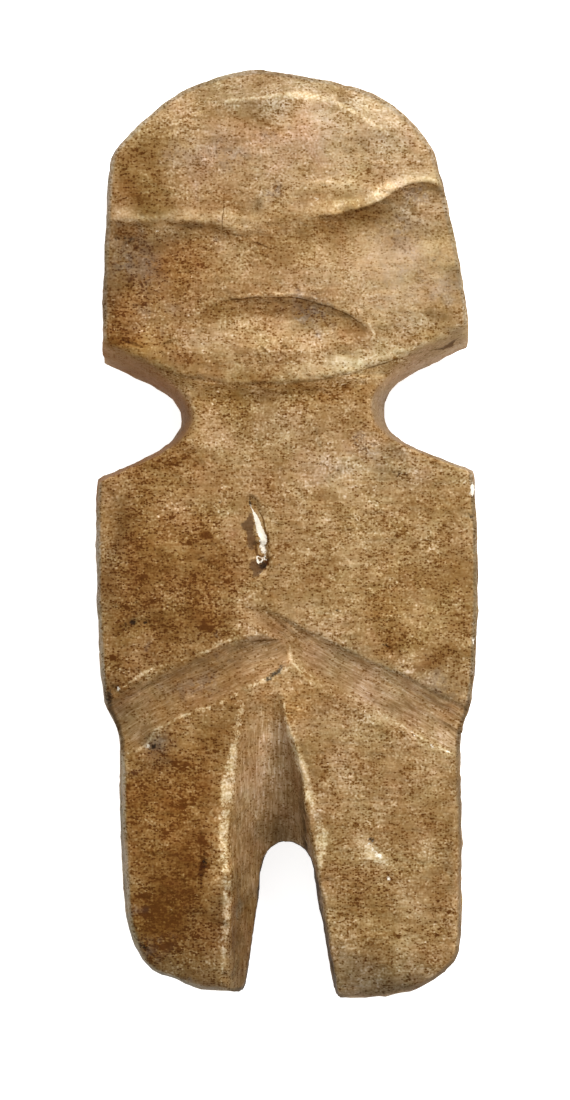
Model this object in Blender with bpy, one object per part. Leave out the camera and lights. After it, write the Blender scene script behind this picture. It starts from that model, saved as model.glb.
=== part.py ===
"""Carved stone figurine: a flat, schematic standing figure, one piece of stone.

The figure lies on its back with its face up. Metres, +Z up:
  +X  the viewer's right when looking at the face
  +Y  from the feet to the crown
  +Z  from the flat back to the face
The origin is the middle of the back, on the surface it lies on.

The blank is a rounded slab lofted along the body from its outline and its
thickness. The carving is then cut from it: a neck notch on each side, the
slot between the legs and the channel above it, the bevelled crown, the brow,
the lens of the mouth, the neck under the chin and the two grooves that mark
the lower edge of the belly.
"""
import math

import bmesh
import bpy
from mathutils import Vector

# ---------------------------------------------------------------- dimensions
MM = 0.001

HEIGHT = 210.0            # crown to toe
WIDTH = 86.4              # across the torso
THICKNESS = 34.0          # back to brow

# Outline: pairs of corners from the crown down to the toes, each (x, y, bow) in
# mm, and the number of steps to the next pair. The bow is how far the side
# bulges outward on the way to the next corner.
OUTLINE = [
    # left side                right side              steps
    ((-5.8, 105.0, 1.9), (-5.8, 105.0, 0.5), 7),       # crown
    ((-28.6, 96.6, 0.3), (16.6, 100.6, 2.1), 5),       # ends of the rounded crown
    ((-38.4, 86.9, 0.1), (33.2, 86.4, 0.1), 1),        # temples
    ((-39.5, 84.4, 0.6), (34.0, 83.6, 0.6), 8),        # sides of the head
    ((-41.4, 44.0, 0.0), (41.0, 48.5, 0.0), 1),        # cheeks
    ((-41.4, 39.0, 0.0), (41.3, 43.2, 0.0), 4),        # jaw
    ((-42.8, 12.6, 0.9), (42.3, 14.4, 1.1), 9),        # shoulders
    ((-41.2, -37.4, 0.0), (41.9, -36.8, 0.1), 2),      # hips
    ((-38.4, -43.6, 0.1), (39.6, -44.4, 0.0), 1),
    ((-37.7, -46.6, 0.4), (39.2, -47.4, 0.2), 6),      # top of the thighs
    ((-36.6, -82.7, 1.0), (39.6, -86.0, 0.1), 4),      # shins
    ((-32.8, -96.2, 0.6), (39.2, -94.2, 0.4), 2),      # ankles
    ((-27.0, -100.2, 0.4), (36.4, -98.4, 0.8), 3),     # outer corners of the feet
    ((-17.0, -103.2, 0.2), (27.0, -103.6, 0.3), 2),
    ((-6.0, -103.6, 0.2), (20.0, -104.8, 0.0), 2),     # soles
    ((13.2, -105.0, 0.0), (13.2, -105.0, 0.0), 0),     # toe
]

# Height of the front surface along the body, (y, z) in mm.
FRONT_PROFILE = [
    (-105.0, 29.4), (-100.0, 30.9), (-80.0, 31.9), (-45.0, 32.8), (-30.0, 33.0),
    (-8.0, 32.6), (16.0, 31.7), (36.0, 33.0), (55.0, 33.8), (72.0, 34.0),
    (90.0, 33.4), (105.0, 32.2),
]
# Height of the back above the ground, (y, z) in mm: flat, with lifted ends.
BACK_PROFILE = [
    (-105.0, 3.2), (-101.0, 1.0), (-96.0, 0.0), (92.0, 0.0), (99.0, 1.4), (105.0, 5.0),
]
FRONT_CROWNING = 0.8      # how much higher the middle is than the front edges
# Width of the rounded front edge along the body, (y, left, right) in mm.
EDGE_WIDTHS = [
    (-105.0, 2.2, 2.2), (-46.0, 2.0, 1.8), (-40.0, 1.5, 1.1), (12.0, 1.4, 1.0),
    (45.0, 0.9, 0.9), (85.0, 1.2, 1.0), (105.0, 1.5, 1.5),
]
BACK_EDGE = 3.4           # width of the rounded back edge
ACROSS = 10               # facets of the front, from side to side

# Crown bevel: inner ridge, (x, y), and its drop to the outline.
CROWN_RIDGE = [(-34.5, 85.5), (-27.0, 93.2), (-19.6, 96.6), (-10.5, 98.3),
               (0.8, 98.7), (9.8, 97.9), (16.6, 95.2), (22.6, 89.4), (26.5, 82.0)]
CROWN_DROP = [0.0, 2.4, 3.8, 4.3, 4.3, 4.0, 3.1, 1.5, 0.0]
CROWN_BAND = 7.0

# Brow: the lip, (x, y), and the depth cut below it.
BROW_LIP = [(-46.0, 71.6), (-28.6, 71.2), (-17.3, 70.6), (-7.1, 68.2), (0.8, 70.7),
            (9.8, 73.0), (16.6, 74.9), (22.3, 77.3), (27.9, 79.3), (36.0, 79.6), (46.0, 79.4)]
BROW_DEPTH = [1.7, 1.7, 1.5, 0.8, 1.0, 1.8, 2.3, 2.6, 2.8, 2.8, 2.8]
BROW_WALL = 5.2           # from the lip to the deepest line
BROW_FADE = 15.0          # from the lip to the plane of the face

# Mouth: a lens, deepest under its sharp upper edge.
MOUTH_CENTRE = (0.2, 46.6)
MOUTH_HALF_WIDTH = 18.6
MOUTH_UPPER = 6.6         # rise of the upper edge above the corners
MOUTH_LOWER = 5.4         # drop of the lower edge
MOUTH_DEPTH = 1.4
MOUTH_TILT = -0.03        # the right corner is a little lower

# Neck: from the lip of the chin, (x, y), down to the plane of the chest.
CHIN_LIP = [(-47.0, 43.0), (-40.4, 41.3), (-33.2, 39.2), (-24.0, 36.3), (-15.0, 34.6),
            (-5.0, 34.1), (5.0, 34.6), (15.0, 36.6), (24.0, 39.2), (34.0, 42.3), (47.0, 45.4)]
NECK_DEPTH = 3.2
NECK_WALL = 4.2
NECK_FADE = [11.0, 12.0, 13.5, 15.5, 17.0, 17.5, 18.0, 18.0, 17.5, 16.5, 15.0]

# Neck notches in the middle of the thickness: jaw end, apex, shoulder end, and
# the lead of each flank into the apex as shares of the notch (depth, height).
NOTCH_LEFT = dict(jaw=(-41.4, 39.0), apex=(-23.9, 25.6), shoulder=(-42.8, 12.6),
                  upper=(0.72, 0.42), lower=(0.66, 0.43), round=(0.42, 0.40))
NOTCH_RIGHT = dict(jaw=(41.3, 42.9), apex=(22.2, 28.3), shoulder=(42.3, 14.6),
                   upper=(0.68, 0.43), lower=(0.66, 0.37), round=(0.42, 0.50))
NOTCH_WAIST = 0.46        # height of the narrowest place, share of the thickness
NOTCH_FLARE_UP = 3.3      # growth toward the chin, at the front and back faces
NOTCH_FLARE_IN = 3.6      # growth at the apex
NOTCH_FLARE_DOWN = 1.2    # growth toward the shoulder

# Slot between the legs, in the middle of the thickness.
SLOT_TOP = (0.3, -69.9)
SLOT_LEFT = [(-6.2, -79.5), (-7.4, -88.0), (-9.2, -101.0), (-11.4, -106.5)]
SLOT_RIGHT = [(6.5, -78.5), (8.1, -88.0), (10.5, -102.0), (13.0, -106.5)]
SLOT_FLARE = 1.0          # growth of each wall at the front face
SLOT_FLARE_BACK = 2.4     # growth of each wall at the back face

# Channel above the slot and on down it: (y, left lip, right lip, depth).
CHANNEL = [
    (-32.5, -9.0, -2.2, 0.02), (-36.0, -9.8, -1.2, 0.9), (-40.0, -10.7, -0.4, 2.5),
    (-46.0, -12.1, 1.2, 4.6), (-54.0, -12.8, 3.4, 7.6), (-62.0, -12.8, 4.6, 11.4), (-70.5, -12.8, 6.2, 16.5),
    (-78.0, -12.8, 7.1, 18.6), (-92.0, -13.2, 9.6, 18.6), (-109.0, -13.6, 12.8, 18.6),
]

# Grooves at the lower edge of the belly: axis (x, y), half width and depth.
HIP_LEFT = [
    (1.6, -24.6, 3.4, 1.4), (-3.7, -27.2, 4.6, 2.4), (-11.2, -29.8, 5.4, 2.9), (-21.8, -34.3, 5.8, 3.0),
    (-31.1, -39.2, 6.3, 3.0), (-50.0, -49.6, 6.6, 3.0),
]
HIP_RIGHT = [
    (-9.6, -18.6, 1.4, 0.3), (-5.5, -19.4, 2.2, 0.9), (-1.5, -21.8, 3.3, 1.8), (3.1, -25.4, 4.2, 2.5),
    (13.2, -30.4, 4.6, 2.8), (25.4, -36.9, 5.3, 2.9), (36.3, -42.7, 5.7, 3.0), (50.0, -50.0, 6.0, 3.0),
]

# ------------------------------------------------------------------- helpers


def settle(body):
    """Turns the carved body into a plain mesh, smooth but for its real edges."""
    depsgraph = bpy.context.evaluated_depsgraph_get()
    mesh = bpy.data.meshes.new_from_object(body.evaluated_get(depsgraph))
    body.modifiers.clear()
    body.data = mesh
    bm = bmesh.new()
    bm.from_mesh(mesh)
    bmesh.ops.remove_doubles(bm, verts=bm.verts, dist=0.00002)
    bmesh.ops.dissolve_degenerate(bm, edges=bm.edges, dist=0.00001)
    bmesh.ops.triangulate(bm, faces=bm.faces, quad_method='BEAUTY', ngon_method='BEAUTY')
    bm.to_mesh(mesh)
    bm.free()
    mesh.shade_smooth()
    mesh.set_sharp_from_angle(angle=math.radians(26))


def clear_scene():
    for obj in list(bpy.data.objects):
        bpy.data.objects.remove(obj, do_unlink=True)
    for mesh in list(bpy.data.meshes):
        bpy.data.meshes.remove(mesh)


def collection(name):
    col = bpy.data.collections.get(name) or bpy.data.collections.new(name)
    if name not in bpy.context.scene.collection.children:
        bpy.context.scene.collection.children.link(col)
    return col


def smooth_table(table, t):
    """Value of a table of (t, value...) at t, eased between its rows."""
    rows = sorted(table)
    if t <= rows[0][0]:
        return rows[0][1:]
    for a, b in zip(rows, rows[1:]):
        if t <= b[0]:
            s = (t - a[0]) / (b[0] - a[0])
            return tuple(p + (q - p) * s for p, q in zip(a[1:], b[1:]))
    return rows[-1][1:]


def catmull(points, steps):
    """A smooth path through the points, with steps spans for each leg."""
    pts = [Vector(p) for p in points]
    pts = [pts[0] * 2 - pts[1]] + pts + [pts[-1] * 2 - pts[-2]]
    out = []
    for i in range(1, len(pts) - 2):
        p0, p1, p2, p3 = pts[i - 1:i + 3]
        for k in range(steps):
            t = k / steps
            out.append(0.5 * ((2 * p1) + (p2 - p0) * t + (2 * p0 - 5 * p1 + 4 * p2 - p3) * t * t
                              + (3 * p1 - p0 - 3 * p2 + p3) * t ** 3))
    out.append(pts[-2].copy())
    return out


def side_points(index, outward):
    """Points of one side of the outline: straight legs, each with its bow."""
    pts = []
    for row, after in zip(OUTLINE, OUTLINE[1:]):
        x0, y0, bow = row[index]
        x1, y1, _ = after[index]
        a, b = Vector((x0, y0)), Vector((x1, y1))
        leg = b - a
        normal = Vector((leg.y, -leg.x)).normalized() * outward
        for k in range(row[2]):
            t = k / row[2]
            pts.append(a.lerp(b, t) + normal * bow * 4 * t * (1 - t))
    pts.append(Vector(OUTLINE[-1][index][:2]))
    return pts


def x_at(side, y):
    """Where a side of the outline stands at the height y."""
    if y >= side[0].y:
        return side[0].x
    for a, b in zip(side, side[1:]):
        if a.y >= y >= b.y and a.y > b.y:
            return a.x + (b.x - a.x) * (a.y - y) / (a.y - b.y)
    return side[-1].x


def loft(name, rings, col, caps=True):
    """A closed solid through rings of equal length, capped at both ends."""
    bm = bmesh.new()
    loops = [[bm.verts.new(Vector(p) * MM) for p in ring] for ring in rings]
    n = len(loops[0])
    for a, b in zip(loops, loops[1:]):
        for i in range(n):
            j = (i + 1) % n
            bm.faces.new((a[i], a[j], b[j], b[i]))
    if caps:
        bm.faces.new(loops[0][::-1])
        bm.faces.new(loops[-1])
    bmesh.ops.remove_doubles(bm, verts=bm.verts, dist=0.00001)
    bmesh.ops.recalc_face_normals(bm, faces=bm.faces)
    bmesh.ops.triangulate(bm, faces=bm.faces)
    mesh = bpy.data.meshes.new(name)
    bm.to_mesh(mesh)
    bm.free()
    obj = bpy.data.objects.new(name, mesh)
    col.objects.link(obj)
    return obj


def as_cutter(obj):
    obj.hide_render = True
    obj.display_type = 'WIRE'
    return obj


def cut(target, cutter):
    mod = target.modifiers.new(cutter.name, 'BOOLEAN')
    mod.operation = 'DIFFERENCE'
    mod.solver = 'EXACT'
    mod.object = as_cutter(cutter)


# --------------------------------------------------------------------- blank


def front_height(y):
    return smooth_table(FRONT_PROFILE, y)[0]


def back_height(y):
    return smooth_table(BACK_PROFILE, y)[0]


LEFT = side_points(0, +1)
RIGHT = side_points(1, -1)


def inward(side, i, sign):
    """Direction from a point of the outline into the stone."""
    if i == 0:
        return Vector((0.0, -1.0))
    if i == len(side) - 1:
        return Vector((0.0, 1.0))
    along = (side[i + 1] - side[i]).normalized() + (side[i] - side[i - 1]).normalized()
    return Vector((-along.y, along.x)).normalized() * sign


def wall(point, into, edge):
    """One side wall, from its front edge down to its back edge."""
    top, low = front_height(point.y) - FRONT_CROWNING, back_height(point.y)
    rows = [(edge, top), (0.42 * edge, top - 0.5 * edge), (0.10 * edge, top - 1.6 * edge),
            (0.0, low + NOTCH_WAIST * (top - low)), (0.12 * BACK_EDGE, low + 4.2),
            (0.45 * BACK_EDGE, low + 1.3), (BACK_EDGE, low)]
    return [(point.x + into.x * d, point.y + into.y * d, z) for d, z in rows]


def rib(i):
    """Closed section across the slab from one side of the outline to the other."""
    edge_l, edge_r = smooth_table(EDGE_WIDTHS, LEFT[i].y)[0], smooth_table(EDGE_WIDTHS, RIGHT[i].y)[1]
    left_wall = wall(LEFT[i], inward(LEFT, i, +1), edge_l)
    right_wall = wall(RIGHT[i], inward(RIGHT, i, -1), edge_r)
    (ax, ay, _), (bx, by, _) = left_wall[0], right_wall[0]
    front = []
    for k in range(1, ACROSS):
        t = k / ACROSS
        y = ay + (by - ay) * t
        front.append((ax + (bx - ax) * t, y, front_height(y) - FRONT_CROWNING * (2 * t - 1) ** 2))
    if i in (0, len(LEFT) - 1):
        front = [left_wall[0]] * (ACROSS - 1)
    return left_wall[::-1] + front + right_wall


def front_surface(x, y):
    """Height of the uncut front of the slab at (x, y)."""
    y = max(-104.0, min(104.0, y))
    edge_l, edge_r = smooth_table(EDGE_WIDTHS, y)
    a, b = x_at(LEFT, y) + edge_l, x_at(RIGHT, y) - edge_r
    share = max(-1.0, min(1.0, (2 * x - a - b) / max(b - a, 1.0)))
    return front_height(y) - FRONT_CROWNING * share ** 2


def make_blank(col):
    return loft("figurine", [rib(i) for i in range(len(LEFT))], col, caps=False)


# ------------------------------------------------------------------- carving


def across_cutter(name, lip, steps, section, col):
    """A cutter lofted along X below a lip: section(x, y, i) gives (dy, z)."""
    rings = []
    for i, p in enumerate(catmull(lip, steps)):
        rings.append([(p.x, p.y + dy, z) for dy, z in section(p.x, p.y, i / steps)])
    return loft(name, rings, col)


def table_value(values, index):
    i = min(int(index), len(values) - 2)
    return values[i] + (values[i + 1] - values[i]) * (index - i)


def crown_bevel(col):
    """Wedge that slopes from the ridge of the crown down to the outline."""
    path = catmull([(x, y, 0.0) for x, y in CROWN_RIDGE], 3)
    rings = []
    for i, p in enumerate(path):
        ahead = path[min(i + 1, len(path) - 1)] - path[max(i - 1, 0)]
        outward = Vector((-ahead.y, ahead.x, 0.0)).normalized()
        drop = table_value(CROWN_DROP, i / 3)
        z0 = front_surface(p.x, p.y)
        reach = CROWN_BAND
        bevel = [(-1.2, z0 + 1.4), (0.0, z0 + 0.02), (0.36 * reach, z0 - 0.40 * drop),
                 (reach, z0 - drop), (2 * reach, z0 - 2.1 * drop - 0.05), (2 * reach, z0 + 8.0), (-1.2, z0 + 8.0)]
        rings.append([p + outward * d + Vector((0, 0, z)) for d, z in bevel])
    return loft("cut_crown", rings, col)


def brow_cutter(col):
    def section(x, y, i):
        z0 = front_surface(x, y)
        z1 = front_surface(x, y - BROW_FADE)
        d = table_value(BROW_DEPTH, i)
        return [(0.9, z0 + 9.0), (0.9, z0 + 0.7), (0.0, z0 - 0.05), (-0.35 * BROW_WALL, z0 - 0.55 * d),
                (-BROW_WALL, z0 - d), (-0.42 * BROW_FADE, z0 - 0.78 * d), (-0.66 * BROW_FADE, z1 - 0.42 * d),
                (-0.86 * BROW_FADE, z1 - 0.14 * d), (-BROW_FADE, z1 + 0.05), (-BROW_FADE - 2, z1 + 0.9),
                (-BROW_FADE - 2, z0 + 9.0)]
    return across_cutter("cut_brow", [(x, y, 0.0) for x, y in BROW_LIP], 2, section, col)


def mouth_cutter(col):
    """The lens of the mouth: steep above, sloping up to its lower edge."""
    rings = []
    n = 16
    for k in range(n + 1):
        u = -math.cos(math.pi * k / n)
        x = MOUTH_CENTRE[0] + MOUTH_HALF_WIDTH * u
        mid = MOUTH_CENTRE[1] + MOUTH_TILT * (x - MOUTH_CENTRE[0])
        open_share = max(1.0 - u * u, 0.02)
        upper = mid + MOUTH_UPPER * open_share
        lower = mid - MOUTH_LOWER * open_share
        depth = MOUTH_DEPTH * open_share ** 0.7
        z0 = front_surface(x, mid)
        span = upper - lower
        rings.append([(x, y, z) for y, z in (
            (upper + 0.3, z0 + 6.0), (upper + 0.3, z0 + 0.5), (upper, z0 + 0.02),
            (upper - 0.12 * span, z0 - 0.72 * depth), (upper - 0.28 * span, z0 - depth),
            (upper - 0.55 * span, z0 - 0.78 * depth), (upper - 0.82 * span, z0 - 0.34 * depth),
            (lower, z0 + 0.05), (lower - 0.8, z0 + 0.6), (lower - 0.8, z0 + 6.0))])
    return loft("cut_mouth", rings, col)


def neck_front_cutter(col):
    def section(x, y, i):
        fade = table_value(NECK_FADE, i)
        z0 = front_surface(x, y)
        z1 = front_surface(x, y - fade)
        d = NECK_DEPTH
        return [(0.8, z0 + 9.0), (0.8, z0 + 0.8), (0.0, z0 - 0.05), (-0.4 * NECK_WALL, z0 - 0.55 * d),
                (-NECK_WALL, z0 - d), (-0.40 * fade, z1 - 0.62 * d), (-0.62 * fade, z1 - 0.34 * d),
                (-0.83 * fade, z1 - 0.10 * d), (-fade, z1 + 0.12), (-fade - 2, z1 + 0.9), (-fade - 2, z1 + 9.0)]
    return across_cutter("cut_neck_front", [(x, y, 0.0) for x, y in CHIN_LIP], 2, section, col)


def neck_back_cutter(col):
    """A shallow hollow across the back of the neck."""
    rings = []
    for x in (-48, -30, -10, 10, 30, 48):
        mid = 27.0 + 0.035 * x
        rings.append([(x, mid + dy, z) for dy, z in (
            (9.5, -6.0), (9.5, -0.5), (8.0, 0.05), (4.6, 1.05), (0.0, 1.5), (-4.6, 1.05),
            (-8.0, 0.05), (-9.5, -0.5), (-9.5, -6.0))])
    return loft("cut_neck_back", rings, col)


def notch_outline(notch, grow):
    """The notch across the body at one height, grown by a share of its flare."""
    side = 1.0 if notch["apex"][0] > 0 else -1.0
    jaw = Vector(notch["jaw"]) + Vector((0.0, NOTCH_FLARE_UP * grow))
    apex = Vector(notch["apex"]) + Vector((-side * NOTCH_FLARE_IN * grow, 0.5 * grow))
    shoulder = Vector(notch["shoulder"]) - Vector((0.0, NOTCH_FLARE_DOWN * grow))

    def bezier(p, hp, hq, q, n):
        return [p * (1 - t) ** 3 + 3 * hp * t * (1 - t) ** 2 + 3 * hq * t * t * (1 - t) + q * t ** 3
                for t in (k / n for k in range(n + 1))]

    depth, rise = abs(jaw.x - apex.x), jaw.y - apex.y
    upper = bezier(jaw, jaw + Vector((-side * notch["upper"][0] * depth, -notch["upper"][1] * rise)),
                   apex + Vector((0.0, notch["round"][0] * rise)), apex, 9)
    depth, rise = abs(shoulder.x - apex.x), apex.y - shoulder.y
    lower = bezier(apex, apex - Vector((0.0, notch["round"][1] * rise)),
                   shoulder + Vector((-side * notch["lower"][0] * depth, notch["lower"][1] * rise)), shoulder, 9)
    pts = upper + lower[1:]
    # Mouth of the notch, run out past the side of the body along its flanks.
    a = upper[0] + (upper[0] - upper[1]).normalized() * 8.0
    b = lower[-1] + (lower[-1] - lower[-2]).normalized() * 8.0
    return [a] + pts + [b]


def neck_notch(name, notch, col):
    rings = []
    for z, share in ((-2.0, 1.12), (0.0, 0.82), (3.0, 0.48), (8.0, 0.16), (NOTCH_WAIST * THICKNESS, 0.0),
                     (22.0, 0.14), (27.0, 0.42), (30.0, 0.70), (33.0, 1.0), (37.0, 1.35)):
        rings.append([(p.x, p.y, z) for p in notch_outline(notch, share)])
    return loft(name, rings, col)


def slot_outline(grow):
    """The slot between the legs at one height, from foot to foot."""
    left = [Vector(p) + Vector((-grow, 0.0)) for p in SLOT_LEFT]
    right = [Vector(p) + Vector((grow, 0.0)) for p in SLOT_RIGHT]
    centre = (left[0] + right[0]) / 2
    half, rise = (right[0].x - left[0].x) / 2, SLOT_TOP[1] + grow - centre.y
    n = 12
    arch = []
    for k in range(1, n):
        a = math.pi * (1 - k / n)
        arch.append(Vector((centre.x + half * math.cos(a), centre.y + rise * math.sin(a) ** 0.9)))
    return left[::-1] + arch + right


def leg_slot(col):
    rings = []
    for z, grow in ((-2.0, 1.2 * SLOT_FLARE_BACK), (0.0, SLOT_FLARE_BACK), (4.0, 0.45 * SLOT_FLARE_BACK),
                    (9.0, 0.12 * SLOT_FLARE_BACK), (NOTCH_WAIST * THICKNESS, 0.0), (24.0, 0.3 * SLOT_FLARE),
                    (32.0, SLOT_FLARE), (37.0, 1.6 * SLOT_FLARE)):
        rings.append([(p.x, p.y, z) for p in slot_outline(grow)])
    return loft("cut_slot", rings, col)


def leg_channel(col):
    """Front channel that runs down into the slot: gentle left wall, steep right."""
    rings = []
    for y, x0, x1, depth in catmull_rows(CHANNEL, 3):
        z0 = front_surface((x0 + x1) / 2, y)
        w = x1 - x0
        rings.append([(x, y, z) for x, z in (
            (x0 - 0.8, z0 + 8.0), (x0 - 0.8, z0 + 0.9), (x0, z0 + 0.05),
            (x0 + 0.20 * w, z0 - 0.50 * depth), (x0 + 0.42 * w, z0 - 0.86 * depth),
            (x0 + 0.66 * w, z0 - depth), (x0 + 0.84 * w, z0 - 0.88 * depth),
            (x0 + 0.93 * w, z0 - 0.55 * depth), (x1, z0 + 0.05), (x1 + 0.5, z0 + 0.9), (x1 + 0.5, z0 + 8.0))])
    return loft("cut_channel_front", rings, col)


def catmull_rows(rows, steps):
    out = []
    for (r0, r1) in zip(rows, rows[1:]):
        for k in range(steps):
            t = k / steps
            out.append(tuple(a + (b - a) * t for a, b in zip(r0, r1)))
    out.append(rows[-1])
    return out


def back_channel(col):
    """Plainer channel on the back, from the slot up between the buttocks."""
    rings = []
    for k in range(9):
        t = k / 8
        y = -46.0 - 32.0 * t
        half = 2.4 + 3.6 * t
        depth = 0.3 + 17.5 * t ** 1.9
        rings.append([(x, y, z) for x, z in (
            (-half - 0.9, -6.0), (-half - 0.9, -0.8), (-half, -0.05), (-0.62 * half, 0.62 * depth),
            (0.1, depth), (0.62 * half, 0.62 * depth), (half, -0.05), (half + 0.9, -0.8), (half + 0.9, -6.0))])
    return loft("cut_channel_back", rings, col)


def hip_groove(name, axis, col):
    """Round-bottomed groove: a tapering bar sunk to the depth of the groove."""
    curve = bpy.data.curves.new(name, 'CURVE')
    curve.dimensions = '3D'
    curve.bevel_depth = 1.0 * MM
    curve.bevel_resolution = 6
    curve.use_fill_caps = True
    path = catmull([Vector(row) for row in axis], 3)
    spline = curve.splines.new('POLY')
    spline.points.add(len(path) - 1)
    for point, (x, y, half, depth) in zip(spline.points, path):
        radius = (half * half + depth * depth) / (2 * depth)
        z = front_surface(x, y) - depth + radius
        point.co = (x * MM, y * MM, z * MM, 1.0)
        point.radius = radius
    bar = bpy.data.objects.new(name + "_bar", curve)
    col.objects.link(bar)
    depsgraph = bpy.context.evaluated_depsgraph_get()
    mesh = bpy.data.meshes.new_from_object(bar.evaluated_get(depsgraph))
    obj = bpy.data.objects.new(name, mesh)
    obj.matrix_world = bar.matrix_world
    col.objects.link(obj)
    bpy.data.objects.remove(bar, do_unlink=True)
    bm = bmesh.new()
    bm.from_mesh(mesh)
    bmesh.ops.remove_doubles(bm, verts=bm.verts, dist=0.00001)
    bmesh.ops.recalc_face_normals(bm, faces=bm.faces)
    bmesh.ops.triangulate(bm, faces=bm.faces)
    bm.to_mesh(mesh)
    bm.free()
    return obj


# ------------------------------------------------------------------ material


def stone_material():
    mat = bpy.data.materials.new("stone")
    mat.use_nodes = True
    bsdf = mat.node_tree.nodes["Principled BSDF"]
    bsdf.inputs["Base Color"].default_value = (0.36, 0.245, 0.135, 1.0)
    bsdf.inputs["Roughness"].default_value = 0.62
    bsdf.inputs["Metallic"].default_value = 0.0
    mat.diffuse_color = (0.36, 0.245, 0.135, 1.0)
    return mat


def main():
    clear_scene()
    figure = collection("stone_figurine")
    tools = collection("carving")

    body = make_blank(figure)
    cut(body, crown_bevel(tools))
    cut(body, brow_cutter(tools))
    cut(body, mouth_cutter(tools))
    cut(body, neck_front_cutter(tools))
    cut(body, neck_back_cutter(tools))
    cut(body, neck_notch("cut_notch_left", NOTCH_LEFT, tools))
    cut(body, neck_notch("cut_notch_right", NOTCH_RIGHT, tools))
    cut(body, hip_groove("cut_hip_left", HIP_LEFT, tools))
    cut(body, hip_groove("cut_hip_right", HIP_RIGHT, tools))
    cut(body, leg_channel(tools))
    cut(body, back_channel(tools))
    cut(body, leg_slot(tools))

    settle(body)
    body.data.materials.append(stone_material())


main()
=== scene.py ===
"""Looks for the carved stone figurine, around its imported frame.

One closed mesh replaces the CAD node. It has the same form, with worn lips,
chips, pits, the small hollow in the chest and the marks of sawing and grinding
as real relief. The stone is a procedural material. All lengths in the tables are
in millimetres in the frame of the part: +X the viewer's right, +Y to the crown,
+Z to the face.
"""
import math

import bpy
import numpy as np
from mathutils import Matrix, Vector


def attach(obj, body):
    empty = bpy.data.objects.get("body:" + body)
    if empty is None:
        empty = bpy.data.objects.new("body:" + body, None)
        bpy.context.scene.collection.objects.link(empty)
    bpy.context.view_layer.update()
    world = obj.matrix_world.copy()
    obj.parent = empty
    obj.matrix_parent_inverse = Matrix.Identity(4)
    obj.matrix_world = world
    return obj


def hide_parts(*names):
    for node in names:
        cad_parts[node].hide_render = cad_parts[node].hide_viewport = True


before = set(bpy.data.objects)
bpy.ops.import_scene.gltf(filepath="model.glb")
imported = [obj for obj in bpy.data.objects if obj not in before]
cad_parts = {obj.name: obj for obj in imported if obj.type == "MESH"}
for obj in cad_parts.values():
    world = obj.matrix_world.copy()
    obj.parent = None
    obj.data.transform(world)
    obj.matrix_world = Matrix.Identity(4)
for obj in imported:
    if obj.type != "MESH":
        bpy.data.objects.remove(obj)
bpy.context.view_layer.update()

MM = 0.001
WAIST = 15.6              # height of the narrowest place of the walls
TRIANGLES = 196000

# ------------------------------------------------------------ carved form, mm
# Outline: left and right corner with the outward bow to the next, and steps.
OUTLINE = [
    ((-5.8, 105.0, 1.9), (-5.8, 105.0, 0.5), 14),
    ((-28.6, 96.6, 0.3), (16.6, 100.6, 2.1), 10),
    ((-38.4, 86.9, 0.1), (33.2, 86.4, 0.1), 2),
    ((-39.5, 84.4, 0.6), (34.0, 83.6, 0.6), 12),
    ((-41.4, 44.0, 0.0), (41.0, 48.5, 0.0), 1),
    ((-41.4, 39.0, 0.0), (41.3, 43.2, 0.0), 4),
    ((-42.8, 12.6, 0.9), (42.3, 14.4, 1.1), 14),
    ((-41.2, -37.4, 0.0), (41.9, -36.8, 0.1), 2),
    ((-38.4, -43.6, 0.1), (39.6, -44.4, 0.0), 1),
    ((-37.7, -46.6, 0.4), (39.2, -47.4, 0.2), 10),
    ((-36.6, -82.7, 1.0), (39.6, -86.0, 0.1), 8),
    ((-32.8, -96.2, 0.6), (39.2, -94.2, 0.4), 4),
    ((-27.0, -100.2, 0.4), (36.4, -98.4, 0.8), 5),
    ((-17.0, -103.2, 0.2), (27.0, -103.6, 0.3), 3),
    ((-6.0, -103.6, 0.2), (20.0, -104.8, 0.0), 3),
    ((13.2, -105.0, 0.0), (13.2, -105.0, 0.0), 0),
]
FRONT_PROFILE = [(-105, 29.4), (-100, 30.9), (-80, 31.9), (-45, 32.8), (-30, 33.0), (-8, 32.6),
                 (16, 31.7), (36, 33.0), (55, 33.8), (72, 34.0), (90, 33.4), (105, 32.2)]
BACK_PROFILE = [(-105, 3.2), (-101, 1.0), (-96, 0.0), (92, 0.0), (99, 1.4), (105, 5.0)]
FRONT_CROWNING = 0.8
EDGE_WIDTHS = [(-105, 2.2, 2.2), (-46, 2.0, 1.8), (-40, 1.5, 1.1), (12, 1.4, 1.0),
               (45, 0.9, 0.9), (85, 1.2, 1.0), (105, 1.5, 1.5)]

CROWN_RIDGE = [(-34.5, 85.5), (-27.0, 93.2), (-19.6, 96.6), (-10.5, 98.3), (0.8, 98.7),
               (9.8, 97.9), (16.6, 95.2), (22.6, 89.4), (26.5, 82.0)]
CROWN_DROP = [0.0, 2.4, 3.8, 4.3, 4.3, 4.0, 3.1, 1.5, 0.0]
CROWN_BAND = 7.0

BROW_LIP = [(-46.0, 70.7), (-28.6, 70.5), (-17.3, 70.1), (-7.1, 68.6), (0.8, 70.4), (3.7, 71.0), (9.8, 72.0),
            (14.2, 72.9), (18.0, 74.0), (21.6, 75.5), (24.4, 77.5), (27.9, 79.1), (32.0, 79.3), (36.0, 78.3),
            (46.0, 76.5)]
BROW_DEPTH = [1.7, 1.7, 1.5, 0.8, 1.0, 1.3, 1.8, 2.1, 2.3, 2.4, 2.5, 2.6, 2.6, 2.6, 2.6]
BROW_WALL = [3.5, 3.5, 3.6, 4.2, 4.8, 4.8, 5.2, 5.6, 6.2, 6.6, 7.0, 7.2, 7.2, 7.2, 7.2]
BROW_FADE = [14.0, 14.0, 14.0, 13.0, 13.0, 13.0, 14.0, 15.0, 16.0, 17.0, 17.5, 18.0, 18.0, 18.0, 18.0]

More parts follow.
